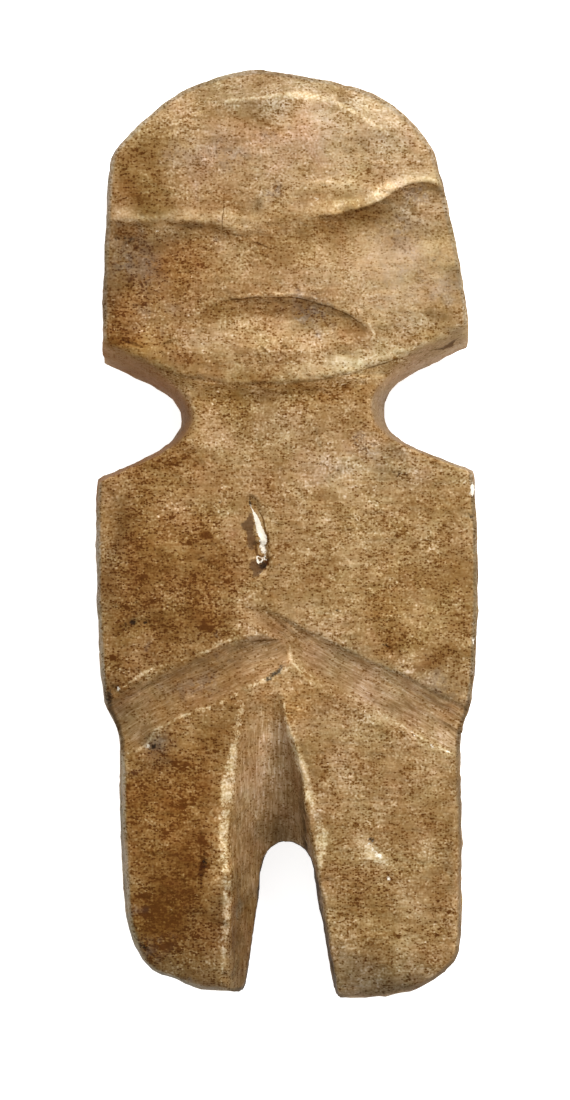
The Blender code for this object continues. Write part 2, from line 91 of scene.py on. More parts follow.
MOUTH_UPPER = [(-19.6, 48.6), (-18.6, 50.8), (-16.8, 52.0), (-11.7, 53.0), (-2.6, 53.3), (3.0, 53.0),
               (9.8, 51.2), (14.0, 49.4), (17.2, 47.4), (19.2, 45.4)]
MOUTH_LOWER = [(-19.6, 48.4), (-16.0, 44.6), (-9.0, 41.9), (-1.0, 40.9), (7.0, 41.2), (14.0, 43.0), (19.2, 45.2)]
MOUTH_DEPTH = 1.45

CHIN_LIP = [(-47.0, 43.0), (-40.4, 41.3), (-33.2, 39.2), (-24.0, 36.3), (-15.0, 34.6), (-5.0, 34.1),
            (5.0, 34.6), (15.0, 36.6), (24.0, 39.2), (34.0, 42.3), (47.0, 45.4)]
NECK_DEPTH = 3.2
NECK_WALL = [4.0, 4.0, 4.2, 4.6, 4.8, 4.8, 4.6, 4.2, 3.8, 3.4, 3.4]
NECK_FADE = [11.0, 12.0, 13.5, 15.5, 17.0, 17.5, 18.0, 18.0, 17.5, 16.5, 15.0]

NOTCH_LEFT = dict(jaw=(-41.4, 39.0), apex=(-23.9, 25.6), shoulder=(-42.8, 12.6),
                  upper=(0.72, 0.42), lower=(0.66, 0.43), round=(0.42, 0.40))
NOTCH_RIGHT = dict(jaw=(41.3, 42.9), apex=(22.2, 28.3), shoulder=(42.3, 14.6),
                   upper=(0.68, 0.43), lower=(0.66, 0.37), round=(0.42, 0.50))

SLOT_TOP = (0.3, -69.9)
SLOT_LEFT = [(-6.2, -79.5), (-7.4, -88.0), (-9.2, -101.0), (-12.4, -112.0)]
SLOT_RIGHT = [(6.5, -78.5), (8.1, -88.0), (10.5, -102.0), (14.2, -112.0)]

CHANNEL = [(-32.5, -9.0, -2.2, 0.02), (-36.0, -9.8, -1.2, 0.9), (-40.0, -10.7, -0.4, 2.5),
           (-46.0, -12.1, 1.2, 4.6), (-54.0, -12.8, 3.4, 7.6), (-62.0, -12.8, 4.6, 11.4),
           (-70.5, -12.8, 6.2, 16.5), (-78.0, -12.8, 7.1, 18.6), (-92.0, -13.2, 9.6, 18.6),
           (-109.0, -13.6, 12.8, 18.6)]

HIP_LEFT = [(1.6, -24.6, 3.4, 1.4), (-3.7, -27.2, 4.6, 2.4), (-11.2, -29.8, 5.4, 2.9),
            (-21.8, -34.3, 5.8, 3.0), (-31.1, -39.2, 6.3, 3.0), (-50.0, -49.6, 6.6, 3.0)]
HIP_RIGHT = [(-9.6, -18.6, 1.4, 0.3), (-5.5, -19.4, 2.2, 0.9), (-1.5, -21.8, 3.3, 1.8),
             (3.1, -25.4, 4.2, 2.5), (13.2, -30.4, 4.6, 2.8), (25.4, -36.9, 5.3, 2.9),
             (36.3, -42.7, 5.7, 3.0), (50.0, -50.0, 6.0, 3.0)]

# Worn pale arrises: (x, y, half width, strength) along each.
WORN = {
    "crown": [(-27.0, 91.6, 0.3, 0.5), (-22.0, 94.2, 0.35, 0.7), (-16.0, 96.8, 0.4, 0.8), (-10.5, 98.0, 0.55, 1.1),
              (-0.3, 98.7, 0.75, 1.5), (7.6, 97.8, 0.75, 1.6), (13.2, 95.6, 0.6, 1.4), (16.8, 93.4, 0.45, 1.0),
              (22.0, 90.6, 0.35, 0.7)],
    "brow_right": [(4.2, 72.5, 0.9, 0.35), (12.1, 74.2, 1.3, 0.6), (18.5, 75.9, 1.5, 0.7), (21.4, 77.6, 1.3, 0.7),
                   (23.6, 79.2, 0.8, 0.7), (27.9, 80.0, 0.55, 0.85), (32.0, 80.1, 0.5, 0.75), (36.0, 79.0, 0.5, 0.5)],
    "mouth_upper": [(-12.6, 53.5, 0.2, 0.1), (-9.7, 53.8, 0.35, 0.7), (-2.6, 54.0, 0.45, 0.9),
                    (4.2, 53.5, 0.45, 0.8), (9.0, 52.2, 0.3, 0.3), (17.1, 48.6, 0.3, 0.3)],
    "mouth_end": [(17.6, 48.4, 0.4, 0.4), (18.9, 46.9, 0.55, 0.95), (19.6, 44.6, 0.5, 0.9), (19.0, 42.8, 0.35, 0.3)],
    "mouth_lower": [(1.0, 40.3, 0.25, 0.2), (5.5, 40.9, 0.3, 0.5), (11.5, 41.8, 0.3, 0.5), (17.4, 43.2, 0.25, 0.3)],
    "chin": [(-40.8, 42.6, 0.7, 0.4), (-33.2, 40.8, 0.8, 0.3), (-14.0, 35.8, 0.7, 0.1),
             (3.1, 35.6, 1.0, 0.3), (12.1, 37.0, 1.2, 0.5),
             (22.3, 40.0, 1.2, 0.6), (30.2, 42.4, 1.0, 0.65), (38.6, 44.9, 0.8, 0.65)],
    "hip_left_upper": [(-3.7, -22.7, 0.45, 0.6), (-11.2, -23.6, 0.45, 0.7), (-17.3, -25.9, 0.45, 0.8),
                       (-26.4, -29.1, 0.5, 0.9), (-31.8, -31.1, 0.57, 0.9), (-37.2, -34.7, 0.57, 0.9)],
    "hip_left_lower": [(-0.6, -30.4, 0.68, 0.9), (-8.0, -34.3, 0.57, 1.0), (-12.6, -36.5, 0.57, 0.9),
                       (-17.3, -38.6, 0.57, 1.0), (-22.7, -41.1, 0.57, 0.9), (-29.3, -44.7, 0.68, 0.9),
                       (-31.1, -47.6, 0.91, 0.8), (-35.4, -49.4, 0.68, 0.8)],
    "hip_right_lower": [(0.3, -26.6, 0.57, 0.8), (1.2, -29.1, 0.68, 0.9), (8.5, -33.4, 0.68, 0.5),
                        (18.0, -38.4, 0.68, 0.5), (25.2, -42.9, 0.57, 0.8), (28.4, -44.9, 0.57, 1.0),
                        (32.7, -47.2, 0.57, 1.0), (36.3, -49.0, 0.57, 1.0)],
    "hip_right_upper": [(-1.9, -18.4, 0.34, 0.4), (6.2, -22.3, 0.45, 0.6), (17.5, -27.0, 0.4, 0.45),
                        (28.9, -32.2, 0.35, 0.3), (36.5, -36.5, 0.5, 0.6)],
    "channel_left": [(-10.3, -38.8, 0.6, 0.9), (-12.3, -47.6, 0.9, 1.3), (-13.5, -55.6, 1.7, 1.4),
                     (-14.1, -62.3, 1.35, 1.4), (-13.8, -71.4, 1.15, 1.35), (-13.5, -79.3, 1.0, 1.3),
                     (-13.7, -89.5, 0.8, 1.25), (-14.6, -100.4, 0.7, 1.0)],
    "channel_right": [(-0.8, -37.7, 0.5, 0.9), (1.5, -47.4, 1.0, 1.35), (4.2, -54.4, 1.3, 1.4),
                      (6.2, -61.2, 1.7, 1.4), (8.0, -66.4, 2.1, 1.4), (7.2, -72.5, 1.1, 1.1),
                      (7.1, -78.2, 0.5, 0.8), (8.3, -89.5, 0.4, 0.6), (11.0, -101.9, 0.6, 0.5)],
    "chip": [(17.0, -68.6, 1.6, 0.7), (18.6, -70.2, 1.8, 1.0), (20.4, -71.9, 2.0, 1.5), (21.8, -73.4, 1.5, 1.2),
             (24.6, -75.2, 0.9, 0.6)],
    "fork": [(0.5, -25.6, 0.25, 0.9), (0.6, -27.6, 0.32, 1.2), (1.0, -29.0, 0.4, 1.3), (2.9, -30.8, 0.4, 1.2)],
}

# Thin dark lines: creases that hold dirt, and scratches, given the same way. The creases under the upper edge of the
# mouth, the right brow and the chin also carry painted shade.
CREASES = {
    "mouth": [(-15.9, 52.0, 0.12, 0.3), (-14.0, 52.4, 0.16, 0.6), (-11.0, 52.9, 0.18, 0.7), (-3.1, 53.1, 0.20, 0.7),
              (3.4, 52.6, 0.22, 0.75), (9.6, 50.9, 0.22, 0.75), (14.0, 49.2, 0.22, 0.7), (17.2, 47.2, 0.2, 0.5),
              (18.2, 45.8, 0.14, 0.2)],
    "brow_right": [(3.0, 70.6, 0.3, 0.3), (9.8, 71.7, 0.3, 0.45), (14.2, 72.6, 0.35, 0.5), (18.0, 73.7, 0.35, 0.5),
                   (21.6, 75.2, 0.3, 0.5), (24.4, 77.2, 0.3, 0.5), (27.9, 78.8, 0.3, 0.5), (32.0, 78.9, 0.3, 0.5),
                   (35.5, 77.9, 0.25, 0.3)],
    "chin": [(-24.0, 35.9, 0.2, 0.3), (-15.0, 34.2, 0.22, 0.4), (-5.0, 33.7, 0.22, 0.4),
             (5.0, 34.2, 0.22, 0.5), (15.0, 36.2, 0.22, 0.55), (24.0, 38.8, 0.22, 0.6), (32.0, 41.2, 0.2, 0.4)],
    "brow_split": [(-14.3, 76.8, 0.10, 0.2), (-14.0, 73.8, 0.15, 0.7), (-14.3, 70.0, 0.17, 0.8), (-14.2, 67.0, 0.12, 0.3)],
    "brow_dash_1": [(-12.5, 67.7, 0.2, 0.4), (-11.0, 67.4, 0.3, 0.7), (-9.2, 66.8, 0.2, 0.3)],
    "brow_dash_2": [(-7.4, 65.6, 0.2, 0.5), (-5.4, 65.1, 0.35, 0.85), (-3.5, 64.3, 0.2, 0.4)],
    "brow_tick": [(21.5, 81.6, 0.12, 0.3), (21.3, 79.9, 0.16, 0.6), (21.6, 78.0, 0.12, 0.3)],
    "under_left_1": [(-34.0, 67.6, 0.2, 0.3), (-27.5, 67.4, 0.2, 0.4), (-20.0, 67.8, 0.2, 0.2)],
    "under_left_2": [(-30.0, 65.5, 0.2, 0.3), (-22.0, 65.2, 0.25, 0.45), (-15.0, 65.7, 0.2, 0.2)],
    "under_left_3": [(-26.0, 63.5, 0.2, 0.3), (-18.0, 62.9, 0.2, 0.35), (-12.0, 63.4, 0.2, 0.15)],
    "lip_mark_1": [(-6.0, 42.5, 0.2, 0.3), (-4.8, 41.6, 0.4, 0.9), (-3.2, 40.6, 0.25, 0.3)],
    "lip_mark_2": [(-1.0, 42.5, 0.2, 0.3), (0.8, 41.6, 0.28, 0.6), (2.8, 40.7, 0.2, 0.2)],
    "pocket": [(-6.9, 5.5, 0.16, 0.5), (-5.9, 3.6, 0.26, 1.3), (-5.2, 0.8, 0.30, 1.3), (-4.6, -1.4, 0.3, 1.3),
               (-5.0, -2.6, 0.2, 0.8)],
    "pocket_mid": [(-7.4, -1.8, 0.2, 0.6), (-7.2, -3.4, 0.3, 1.2), (-6.8, -4.9, 0.3, 1.2), (-5.2, -5.5, 0.2, 0.7)],
    "pocket_low": [(-7.4, -7.2, 0.3, 0.7), (-6.2, -8.2, 0.45, 1.2), (-4.9, -6.9, 0.5, 1.2), (-4.0, -6.0, 0.3, 0.7)],
    "pocket_trail": [(-6.3, -10.9, 0.15, 0.4), (-5.2, -12.4, 0.25, 0.7), (-5.9, -13.7, 0.2, 0.7), (-4.6, -13.9, 0.15, 0.3)],
    "jaw_stain": [(32.8, 41.5, 0.12, 0.5), (34.9, 41.6, 0.25, 1.0), (36.8, 42.4, 0.42, 1.3), (38.2, 43.1, 0.42, 1.3),
                  (38.7, 44.0, 0.2, 0.6)],
    "jaw_left_1": [(-37.5, 44.4, 0.3, 0.4), (-35.5, 43.6, 0.5, 0.8), (-33.2, 42.6, 0.4, 0.8), (-31.8, 42.3, 0.2, 0.3)],
    "jaw_left_2": [(-28.2, 42.6, 0.2, 0.4), (-26.8, 43.3, 0.35, 0.8), (-24.8, 43.9, 0.25, 0.4)],
    "leg_left_spot": [(-18.2, -71.6, 0.4, 0.5), (-18.8, -74.5, 0.8, 0.9), (-19.2, -78.0, 0.5, 0.6), (-19.0, -81.0, 0.3, 0.3)],
    "leg_left_low": [(-33.0, -92.6, 0.5, 0.5), (-31.4, -94.0, 0.8, 0.9), (-29.6, -95.4, 0.4, 0.5)],
    "hip_left_1": [(-9.2, -24.9, 0.2, 0.3), (-6.0, -24.5, 0.3, 0.7), (-2.6, -23.9, 0.25, 0.6), (-1.2, -23.7, 0.2, 0.3)],
    "chest_tick": [(10.6, -16.7, 0.2, 0.4), (11.8, -17.2, 0.25, 0.6), (13.0, -17.6, 0.2, 0.3)],
}
# Bare white stone in the pocket and on fresh nicks, given the same way.
WHITES = {
    "pocket": [(-7.9, 4.9, 0.4, 1.1), (-7.3, 3.4, 0.7, 1.3), (-6.6, 1.4, 0.85, 1.2), (-5.9, -0.6, 0.75, 1.2),
               (-5.4, -1.8, 0.45, 0.8)],
    "pocket_low": [(-6.2, -2.4, 0.6, 0.55), (-5.6, -3.6, 0.8, 0.75), (-5.2, -4.8, 0.6, 0.6)],
    "pocket_end": [(-7.0, -5.6, 0.35, 0.5), (-6.5, -6.8, 0.45, 0.65), (-5.4, -5.9, 0.3, 0.4)],
}

# Broad changes of the surface: (x, y, half width, half height, change). The film list
# is the brown film that gathered on the stone, with some painted shade below the brow;
# the grime list is grey dirt (below zero) or rubbed, clean stone (above it), with
# painted shade at the ends of the feet and painted light on the right brow lip and
# under the right jaw among its entries.
CHANGES = {
    "film_and_painted_shade": [(9.8, 89.3, 24.9, 13.6, -0.38), (21.2, 96.1, 13.6, 6.8, -0.12),
             (-35.0, 78.2, 5.0, 2.4, 0.8), (-36.5, 83.6, 5.0, 5.7, 0.25),
             (-21.8, 87.0, 10.2, 7.9, -0.1), 
             
             (26.8, 65.5, 10.2, 7.9, -0.5), (14.4, 59.9, 13.6, 9.1, -0.2),
             (25.7, 53.1, 11.3, 4.5, -0.25), (-36.5, 44.5, 5.0, 3.6, 0.9),
             (-21.8, 39.0, 13.6, 3.2, 0.45), (-1.5, 46.3, 15.8, 3.2, -0.15),
             (12.1, 39.5, 11.3, 3.2, -0.2), (-1.5, 32.2, 20.4, 2.0, 0.4),
             (9.8, 21.4, 13.6, 9.1, -0.12), (13.2, 13.5, 13.6, 4.5, -0.25),
             (-30.9, 1.0, 13.6, 18.1, 0.32), (-18.2, 2.1, 5.7, 3.2, 0.65),
             (-16.2, 7.8, 4.5, 2.3, 0.3), (-36.5, -23.9, 5.7, 13.6, 0.75),
             (-15.0, -14.8, 7.9, 6.8, 0.7), (-24.1, -19.3, 9.1, 9.1, 0.2),
             (-30.9, -8.0, 6.8, 5.7, 0.4), (39.7, -19.3, 3.6, 15.8, 0.6),
             (22.3, -25.0, 4.1, 3.2, 0.4), (34.7, -5.8, 5.7, 4.5, 0.15),
             (-26.4, -64.6, 12.4, 17.0, 0.8), (-34.3, -71.4, 4.1, 18.1, 0.3),
             (-21.8, -87.2, 7.9, 9.1, 0.6), (-18.4, -40.8, 5.7, 2.7, 0.45),
             (-21.8, -48.8, 10.2, 5.7, 0.3), (9.8, -54.4, 4.5, 9.1, 0.3),
             (25.7, -42.0, 9.1, 5.7, -0.1), (14.4, -80.4, 6.8, 6.8, 0.4),
             (35.9, -87.2, 3.4, 7.9, 0.35), (16.6, -97.4, 6.8, 3.4, -0.2),
             (25.7, -78.2, 11.3, 13.6, 0.15),
             (-24.8, -60.1, 12.0, 16.0, 0.45), (-24.8, -87.5, 12.0, 13.0, 0.6), (-25.0, -17.0, 16.0, 14.0, 0.4),
             (-26.0, -1.0, 14.0, 16.0, 0.25), (-32.5, 55.0, 10.0, 14.0, 0.45), (-32.0, 45.0, 9.0, 6.0, 0.3),
             # (14.5, 67.5) is painted shade below the right brow arch.
             (14.5, 67.5, 13.0, 3.5, 0.35), (-19.0, 65.0, 18.0, 3.5, 0.2), (-3.0, 63.0, 3.5, 6.0, 0.35),
             (24.0, -22.0, 5.0, 5.0, 0.4), (32.5, -30.0, 4.0, 3.0, 0.4), (-31.0, 78.6, 6.0, 2.6, 0.4),
             (-3.0, 32.5, 20.0, 3.0, 0.3), (-3.0, 36.0, 16.0, 2.5, 0.2), (-4.0, 50.5, 9.0, 2.5, 0.25),
             (-24.8, -87.5, 10.0, 12.0, 0.35), (-34.0, 50.0, 6.0, 14.0, 0.2), (-28.0, -22.0, 10.0, 8.0, 0.2),
             (-20.0, -33.0, 12.0, 4.0, 0.2), (22.0, -20.0, 14.0, 6.0, 0.15),
             (-28.0, 84.0, 7.0, 7.0, 0.28), (0.0, 98.5, 20.0, 2.0, -0.15), (-31.0, 57.0, 7.0, 6.0, 0.2),
             (-33.0, 44.0, 7.0, 3.0, 0.3), (29.0, 45.0, 9.0, 3.0, -0.22), (-15.0, 38.2, 5.0, 2.4, 0.3),
             # (20.0, 69.0) is painted shade below the right brow arch.
             (20.0, 69.0, 8.0, 2.6, 0.45), (-10.2, -90.0, 2.2, 13.0, 0.45), (29.0, 45.0, 9.0, 3.0, -0.12),
             (-1.5, -43.0, 4.0, 6.0, 0.3), (-8.0, 95.0, 7.0, 1.8, 0.35), (-11.0, 29.7, 7.0, 3.5, 0.3), (15.0, 48.0, 3.0, 1.4, 0.35), (29.0, 75.5, 5.0, 2.0, 0.2), (29.5, 73.4, 4.5, 0.9, -0.45),
             (35.0, 40.0, 4.0, 2.0, 0.3), (-27.0, 2.0, 14.0, 14.0, 0.06), (24.0, -8.0, 14.0, 10.0, 0.12),
             (-25.0, -62.0, 8.0, 12.0, 0.05), (-28.0, 84.0, 7.0, 7.0, 0.12), (-31.0, 57.0, 8.0, 6.0, 0.12),
             (-33.0, 45.0, 7.0, 2.5, 0.2), (-25.0, -90.0, 9.0, 10.0, 0.12), (-28.0, 0.0, 12.0, 12.0, 0.06), (-29.0, 1.0, 12.0, 14.0, 0.08), (26.0, 0.0, 14.0, 12.0, 0.10),
             (-25.0, -88.0, 10.0, 12.0, 0.2), (6.0, 17.0, 16.0, 5.0, 0.1), (26.0, -36.5, 12.0, 5.0, -0.3), (-26.0, -85.0, 8.0, 10.0, 0.2), (24.0, -97.0, 12.0, 5.0, -0.16), (-28.0, 0.0, 12.0, 14.0, 0.06), (26.0, -14.0, 14.0, 10.0, 0.1), (0.0, 98.0, 18.0, 2.0, -0.12),
             (14.5, 74.8, 7.0, 1.8, -0.35), (-33.0, 41.5, 12.0, 5.0, 0.12), (6.5, -64.0, 1.6, 8.0, -0.25),
             (0.0, 30.5, 16.0, 3.0, 0.1), (9.0, -3.0, 14.0, 10.0, 0.08),
             (0.0, 4.0, 42.0, 11.0, -0.06), (20.0, 68.5, 14.0, 5.0, 0.08), (-17.4, -69.5, 2.2, 6.0, 0.65), (-15.5, 7.4, 3.0, 2.5, 0.6), (30.9, -32.0, 5.0, 2.5, 0.6),
             (-33.6, -60.3, 3.0, 5.0, 0.5), (-33.0, -82.5, 3.5, 6.0, 0.5), (-40.2, 51.5, 2.5, 5.0, -0.5),
             (-21.2, -9.4, 3.0, 3.0, -0.55)],
    "grime_and_painted_light": [(-3.7, 101.0, 27.2, 4.1, -0.25), (-7.1, 96.5, 5.0, 2.7, -0.1),
              (-18.4, 87.0, 4.5, 3.2, -0.2), (7.1, 87.0, 6.3, 4.5, -0.1), (-2.5, 95.0, 6.5, 3.5, 0.22),
              (24.6, 90.4, 4.5, 3.4, -0.3), (-4.9, 75.5, 2.7, 1.8, -0.4),
              (-36.5, 63.2, 9.1, 7.2, -0.48), (-27.5, 66.6, 9.1, 3.2, -0.3),
              (-39.9, 55.3, 3.2, 4.5, -0.3), (27.9, 71.6, 10.2, 3.6, -0.3),
              (3.5, 49.9, 5.0, 2.3, -0.3), (35.9, 56.0, 3.2, 2.0, -0.4),
              (33.6, 47.4, 3.2, 1.8, -0.3), (-30.9, 41.8, 11.3, 3.2, 0.25),
              (22.3, 15.7, 2.7, 4.5, -0.3), (30.2, 12.3, 9.1, 2.7, -0.15),
              (12.1, 12.8, 6.8, 2.3, -0.15), (-1.5, 27.0, 13.6, 4.5, -0.08),
              (-41.1, -5.8, 3.6, 13.6, -0.3), (-37.7, 3.3, 4.5, 4.5, -0.15),
              (-33.2, -19.8, 3.2, 2.0, -0.3), (25.7, -14.8, 13.6, 13.6, 0.12),
              (-13.9, -14.8, 5.7, 4.5, 0.12), (-24.1, -97.4, 13.6, 5.0, -0.35),
              (-16.2, -88.4, 4.5, 3.4, -0.25), (15.5, -96.3, 7.9, 5.7, -0.3),
              (-30.9, -46.5, 4.1, 3.2, -0.3), (9.8, -28.4, 6.8, 2.3, -0.15),
              (29.1, -40.8, 3.4, 1.8, -0.2),
              # Painted shade where the ends of the feet round away from the light.
              (23.9, -102.0, 14.0, 5.0, -0.55), (-20.0, -101.5, 14.0, 5.0, -0.25), 
              (-1.5, -44.0, 4.5, 11.0, 0.5), (-26.0, 2.0, 13.0, 14.0, 0.15), (-24.8, -62.0, 12.0, 14.0, 0.2),
              (-19.0, 70.5, 18.0, 3.0, 0.12), (0.0, 98.5, 20.0, 2.0, -0.16), (-31.0, 57.0, 7.0, 6.0, 0.12),
              # (24.0, -99.0) here and (24.0, -98.0) below are painted shade on the end of the right foot.
              (29.0, 45.0, 9.0, 3.0, -0.12), (24.0, -99.0, 12.0, 5.0, -0.35), (0.0, 26.0, 14.0, 6.0, -0.12), (-10.2, -90.0, 2.2, 13.0, -0.35), (-38.5, -36.5, 4.0, 4.5, -0.4),
              (24.0, -98.0, 13.0, 5.0, -0.12), (-3.0, 50.5, 13.0, 2.2, 0.08),
              (26.0, -37.0, 12.0, 6.0, -0.2), (8.0, -26.5, 7.0, 4.0, -0.2), (0.0, -43.0, 7.0, 8.0, -0.05),
              # (34.0, 40.0) is painted light under the right jaw; (27.5, 75.5) is painted shade under the right brow
              # arch.
              (-31.0, 57.0, 8.0, 6.0, 0.15), (34.0, 40.0, 4.0, 2.0, 0.3), (27.5, 75.5, 5.0, 1.5, -0.12),
              # (14.5, 74.8) is painted light on the right brow lip.
              (14.5, 74.8, 7.0, 1.8, 0.1), (-33.0, 41.5, 12.0, 5.0, 0.14), (6.5, -64.0, 1.6, 8.0, -0.12),
              (-13.6, -70.0, 1.2, 12.0, 0.16), (-25.0, -89.0, 10.0, 12.0, 0.1), (0.0, 86.0, 30.0, 14.0, -0.06),
              (0.0, 30.5, 16.0, 3.0, 0.08), (-24.0, -38.0, 9.0, 4.0, -0.06), (20.0, -33.0, 16.0, 4.0, -0.06),
              (-33.5, -42.0, 6.0, 4.0, -0.75), (35.6, -41.5, 4.0, 3.0, -0.28), (-0.1, -47.4, 4.0, 4.0, 0.12), (-25.0, -60.0, 10.0, 14.0, 0.06),
              (30.0, 57.0, 12.0, 14.0, -0.05), (-28.0, 65.5, 14.0, 4.5, 0.06),
              (38.4, -71.0, 1.4, 7.0, -0.25), (37.9, -54.0, 1.4, 6.0, -0.25), (-12.4, -79.3, 1.0, 3.0, 0.3),
              (27.0, 77.8, 6.0, 1.8, 0.12), (8.0, 90.0, 18.0, 8.0, -0.07), (-6.4, -70.3, 3.0, 4.0, -0.4), (-40.4, 49.5, 2.0, 5.0, -0.3),
              # Painted light on the right brow lip.
              (14.5, 75.8, 7.0, 1.8, 0.15)],
    "red": [(0.0, 22.0, 30.0, 12.0, 0.015), (-29.0, -88.0, 9.0, 10.0, -0.05), (-36.0, 40.0, 7.0, 3.0, -0.04), (-33.0, -67.0, 6.0, 8.0, -0.03),
            (-32.0, 56.0, 12.0, 16.0, 0.035), (30.0, -10.0, 14.0, 30.0, -0.022), (28.0, -85.0, 12.0, 16.0, -0.022),
            (0.0, -33.0, 40.0, 5.0, 0.005), (0.0, -50.0, 6.0, 20.0, 0.005),  (-15.0, 38.2, 5.0, 2.4, 0.05),
            (15.0, 48.0, 3.0, 1.4, 0.05), (-8.7, 1.4, 1.6, 3.0, 0.06), (-17.0, 84.0, 7.0, 8.0, 0.05),
            (6.0, 85.0, 12.0, 8.0, 0.035), (-32.0, 84.0, 5.0, 8.0, -0.03), (-3.0, 59.0, 14.0, 5.0, 0.03),
            (2.0, 45.5, 15.0, 3.0, 0.035), (-10.0, 29.0, 11.0, 5.0, -0.04),
            (-5.0, 92.5, 11.0, 4.0, 0.06)],
    "calm": [(28.0, 60.0, 12.0, 12.0, 0.75), (-36.0, 62.0, 8.0, 8.0, 0.5), (-28.0, 74.5, 10.0, 3.0, 0.4), (2.0, 88.0, 24.0, 12.0, 0.55), (0.0, 62.0, 40.0, 22.0, 0.3), (28.0, 60.0, 10.0, 12.0, 0.2),
             (-22.0, -62.0, 12.0, 20.0, 0.3), (0.0, 58.0, 16.0, 6.0, 0.1)],
}

# Small marks: (x, y, half length, half width, degrees, strength).
STAINS = {
    "bluish": [(-31.3, 61.0, 4, 6.5, 10, 0.65), (-4.4, 76.4, 2.2, 1.2, 0, 0.9), (-28.6, -46.8, 3.0, 2.5, 30, 0.9),
               (-31.3, -94.0, 4, 2.4, -30, 0.8), (35.9, 56.0, 2.2, 1.4, 0, 0.6), (34, -34, 5, 1.5, -25, 0.5),
               (10, 15, 5, 2, 0, 0.5), (19, 19, 4, 1.6, 0, 0.7), (-12, 85, 5, 3, 0, 0.6), (-19, -33.5, 5, 2.5, 25, 0.6),
               (26, 66, 6, 4, 0, 0.5), (-24, 84.5, 5, 3, 0, 0.4), (6.4, 49.9, 3.4, 1.9, -12, 0.95), (-36, 61.5, 3, 4, 0, 0.8),
               (25.7, 69, 1.6, 4, 0, 0.8), (29.0, 75.2, 2.8, 1.1, 5, 0.8), (-4.0, 75.9, 1.2, 1.0, 0, 0.8)],
    "soot": [(-34.5, -19.8, 0.7, 0.5, 0, 1.0), (-31.8, -19.8, 0.6, 0.4, 0, 0.9), (37.6, 43.0, 1.4, 0.45, 16, 0.8),
             (-2.9, -31.5, 2.5, 0.8, 32, 0.9), (19.0, -68.5, 0.7, 0.7, 0, 0.7),
             (-18.4, -73.7, 0.9, 1.6, 0, 0.45), (41.5, 3.7, 0.7, 0.6, 0, 0.8), 
             (-39.8, -36.5, 1.2, 2.2, 0, 0.8), (-15.0, 7.4, 0.8, 0.5, 0, 0.6), (22.3, -25.0, 1.3, 0.5, -20, 0.6),
             (11.7, -17.1, 1.3, 0.4, -20, 0.6), 
             (-4.7, -6.9, 1.0, 0.8, 0, 0.7), (-8.1, 7.3, 0.55, 1.9, 8, 0.8),
             (25, 13.5, 1.2, 0.5, 0, 0.5), (33.4, 60.9, 1.2, 0.7, -40, 0.5),
             (-29.8, -47.6, 1.2, 0.5, 60, 0.8), (-32.4, -92.6, 1.8, 1.0, -35, 0.8), (-12.6, -91.0, 0.35, 0.8, 0, 0.6),
             (-36.6, 66.5, 2.6, 1.4, 0, 0.5), (28.0, -44.2, 0.8, 0.4, -25, 0.7)],
    "white": [(20.7, -72.1, 1.9, 1.1, -45, 0.75), (42.0, 10.5, 0.5, 1.8, 0, 0.9),
              (42.0, -23.9, 0.5, 1.4, 0, 0.8), (-37.9, -34.7, 0.5, 0.8, 0, 0.8), 
              (22.8, -77.6, 0.7, 0.5, 0, 0.6), (36.2, -48.8, 1.0, 0.5, -30, 0.7),
              (28.6, -45.2, 0.9, 0.4, -30, 0.7), (32.6, -47.2, 0.9, 0.4, -30, 0.6), (-31.1, -48.0, 0.7, 1.2, 0, 0.5),
              (7.0, 75.4, 0.8, 0.5, 30, 0.35), (-29.2, 68.1, 1.6, 0.35, 0, 0.5), (9.0, 52.0, 1.8, 0.6, -15, 0.4)],
}

# ------------------------------------------------------------------- geometry


def catmull(points, steps):
    pts = [np.array(p, float) for p in points]
    pts = [2 * pts[0] - pts[1]] + pts + [2 * pts[-1] - pts[-2]]
    out = []
    for i in range(1, len(pts) - 2):
        p0, p1, p2, p3 = pts[i - 1:i + 3]
        for k in range(steps):
            t = k / steps
            out.append(0.5 * ((2 * p1) + (p2 - p0) * t + (2 * p0 - 5 * p1 + 4 * p2 - p3) * t * t
                              + (3 * p1 - p0 - 3 * p2 + p3) * t ** 3))
    out.append(pts[-2])
    return np.array(out)


def side_points(index, outward):
    pts = []
    for row, after in zip(OUTLINE, OUTLINE[1:]):
        x0, y0, bow = row[index]
        x1, y1, _ = after[index]
        a, b = Vector((x0, y0)), Vector((x1, y1))
        leg = b - a
        normal = Vector((leg.y, -leg.x)).normalized() * outward
        for k in range(row[2]):
            t = k / row[2]
            p = a.lerp(b, t) + normal * bow * 4 * t * (1 - t)
            pts.append((p.x, p.y))
    pts.append(OUTLINE[-1][index][:2])
    return pts


LEFT_SIDE, RIGHT_SIDE = side_points(0, +1), side_points(1, -1)

# Maps of the form on a plan grid.
STEP = 0.2
X0, X1, Y0, Y1 = -47.0, 47.0, -109.0, 109.0
NX, NY = int(round((X1 - X0) / STEP)) + 1, int(round((Y1 - Y0) / STEP)) + 1
XS, YS = X0 + STEP * np.arange(NX), Y0 + STEP * np.arange(NY)
GX, GY = np.meshgrid(XS, YS)
KX = (2 * np.pi * np.fft.rfftfreq(NX, STEP))[None, :]
KY = (2 * np.pi * np.fft.fftfreq(NY, STEP))[:, None]


def grain(seed, size_x, size_y=None):
    """Smooth noise of unit spread over the plan; the sizes are its grain in mm."""
    size_y = size_x if size_y is None else size_y
    white = np.random.default_rng(seed).standard_normal((NY, NX))
    spectrum = np.fft.rfft2(white) * np.exp(-0.5 * ((KX * size_x) ** 2 + (KY * size_y) ** 2))
    out = np.fft.irfft2(spectrum, s=(NY, NX))
    return out / out.std()


def blur(field, size):
    return np.fft.irfft2(np.fft.rfft2(field) * np.exp(-0.5 * ((KX * size) ** 2 + (KY * size) ** 2)), s=(NY, NX))


def smoothstep(lo, hi, v):
    t = np.clip((v - lo) / (hi - lo), 0.0, 1.0)
    return t * t * (3 - 2 * t)


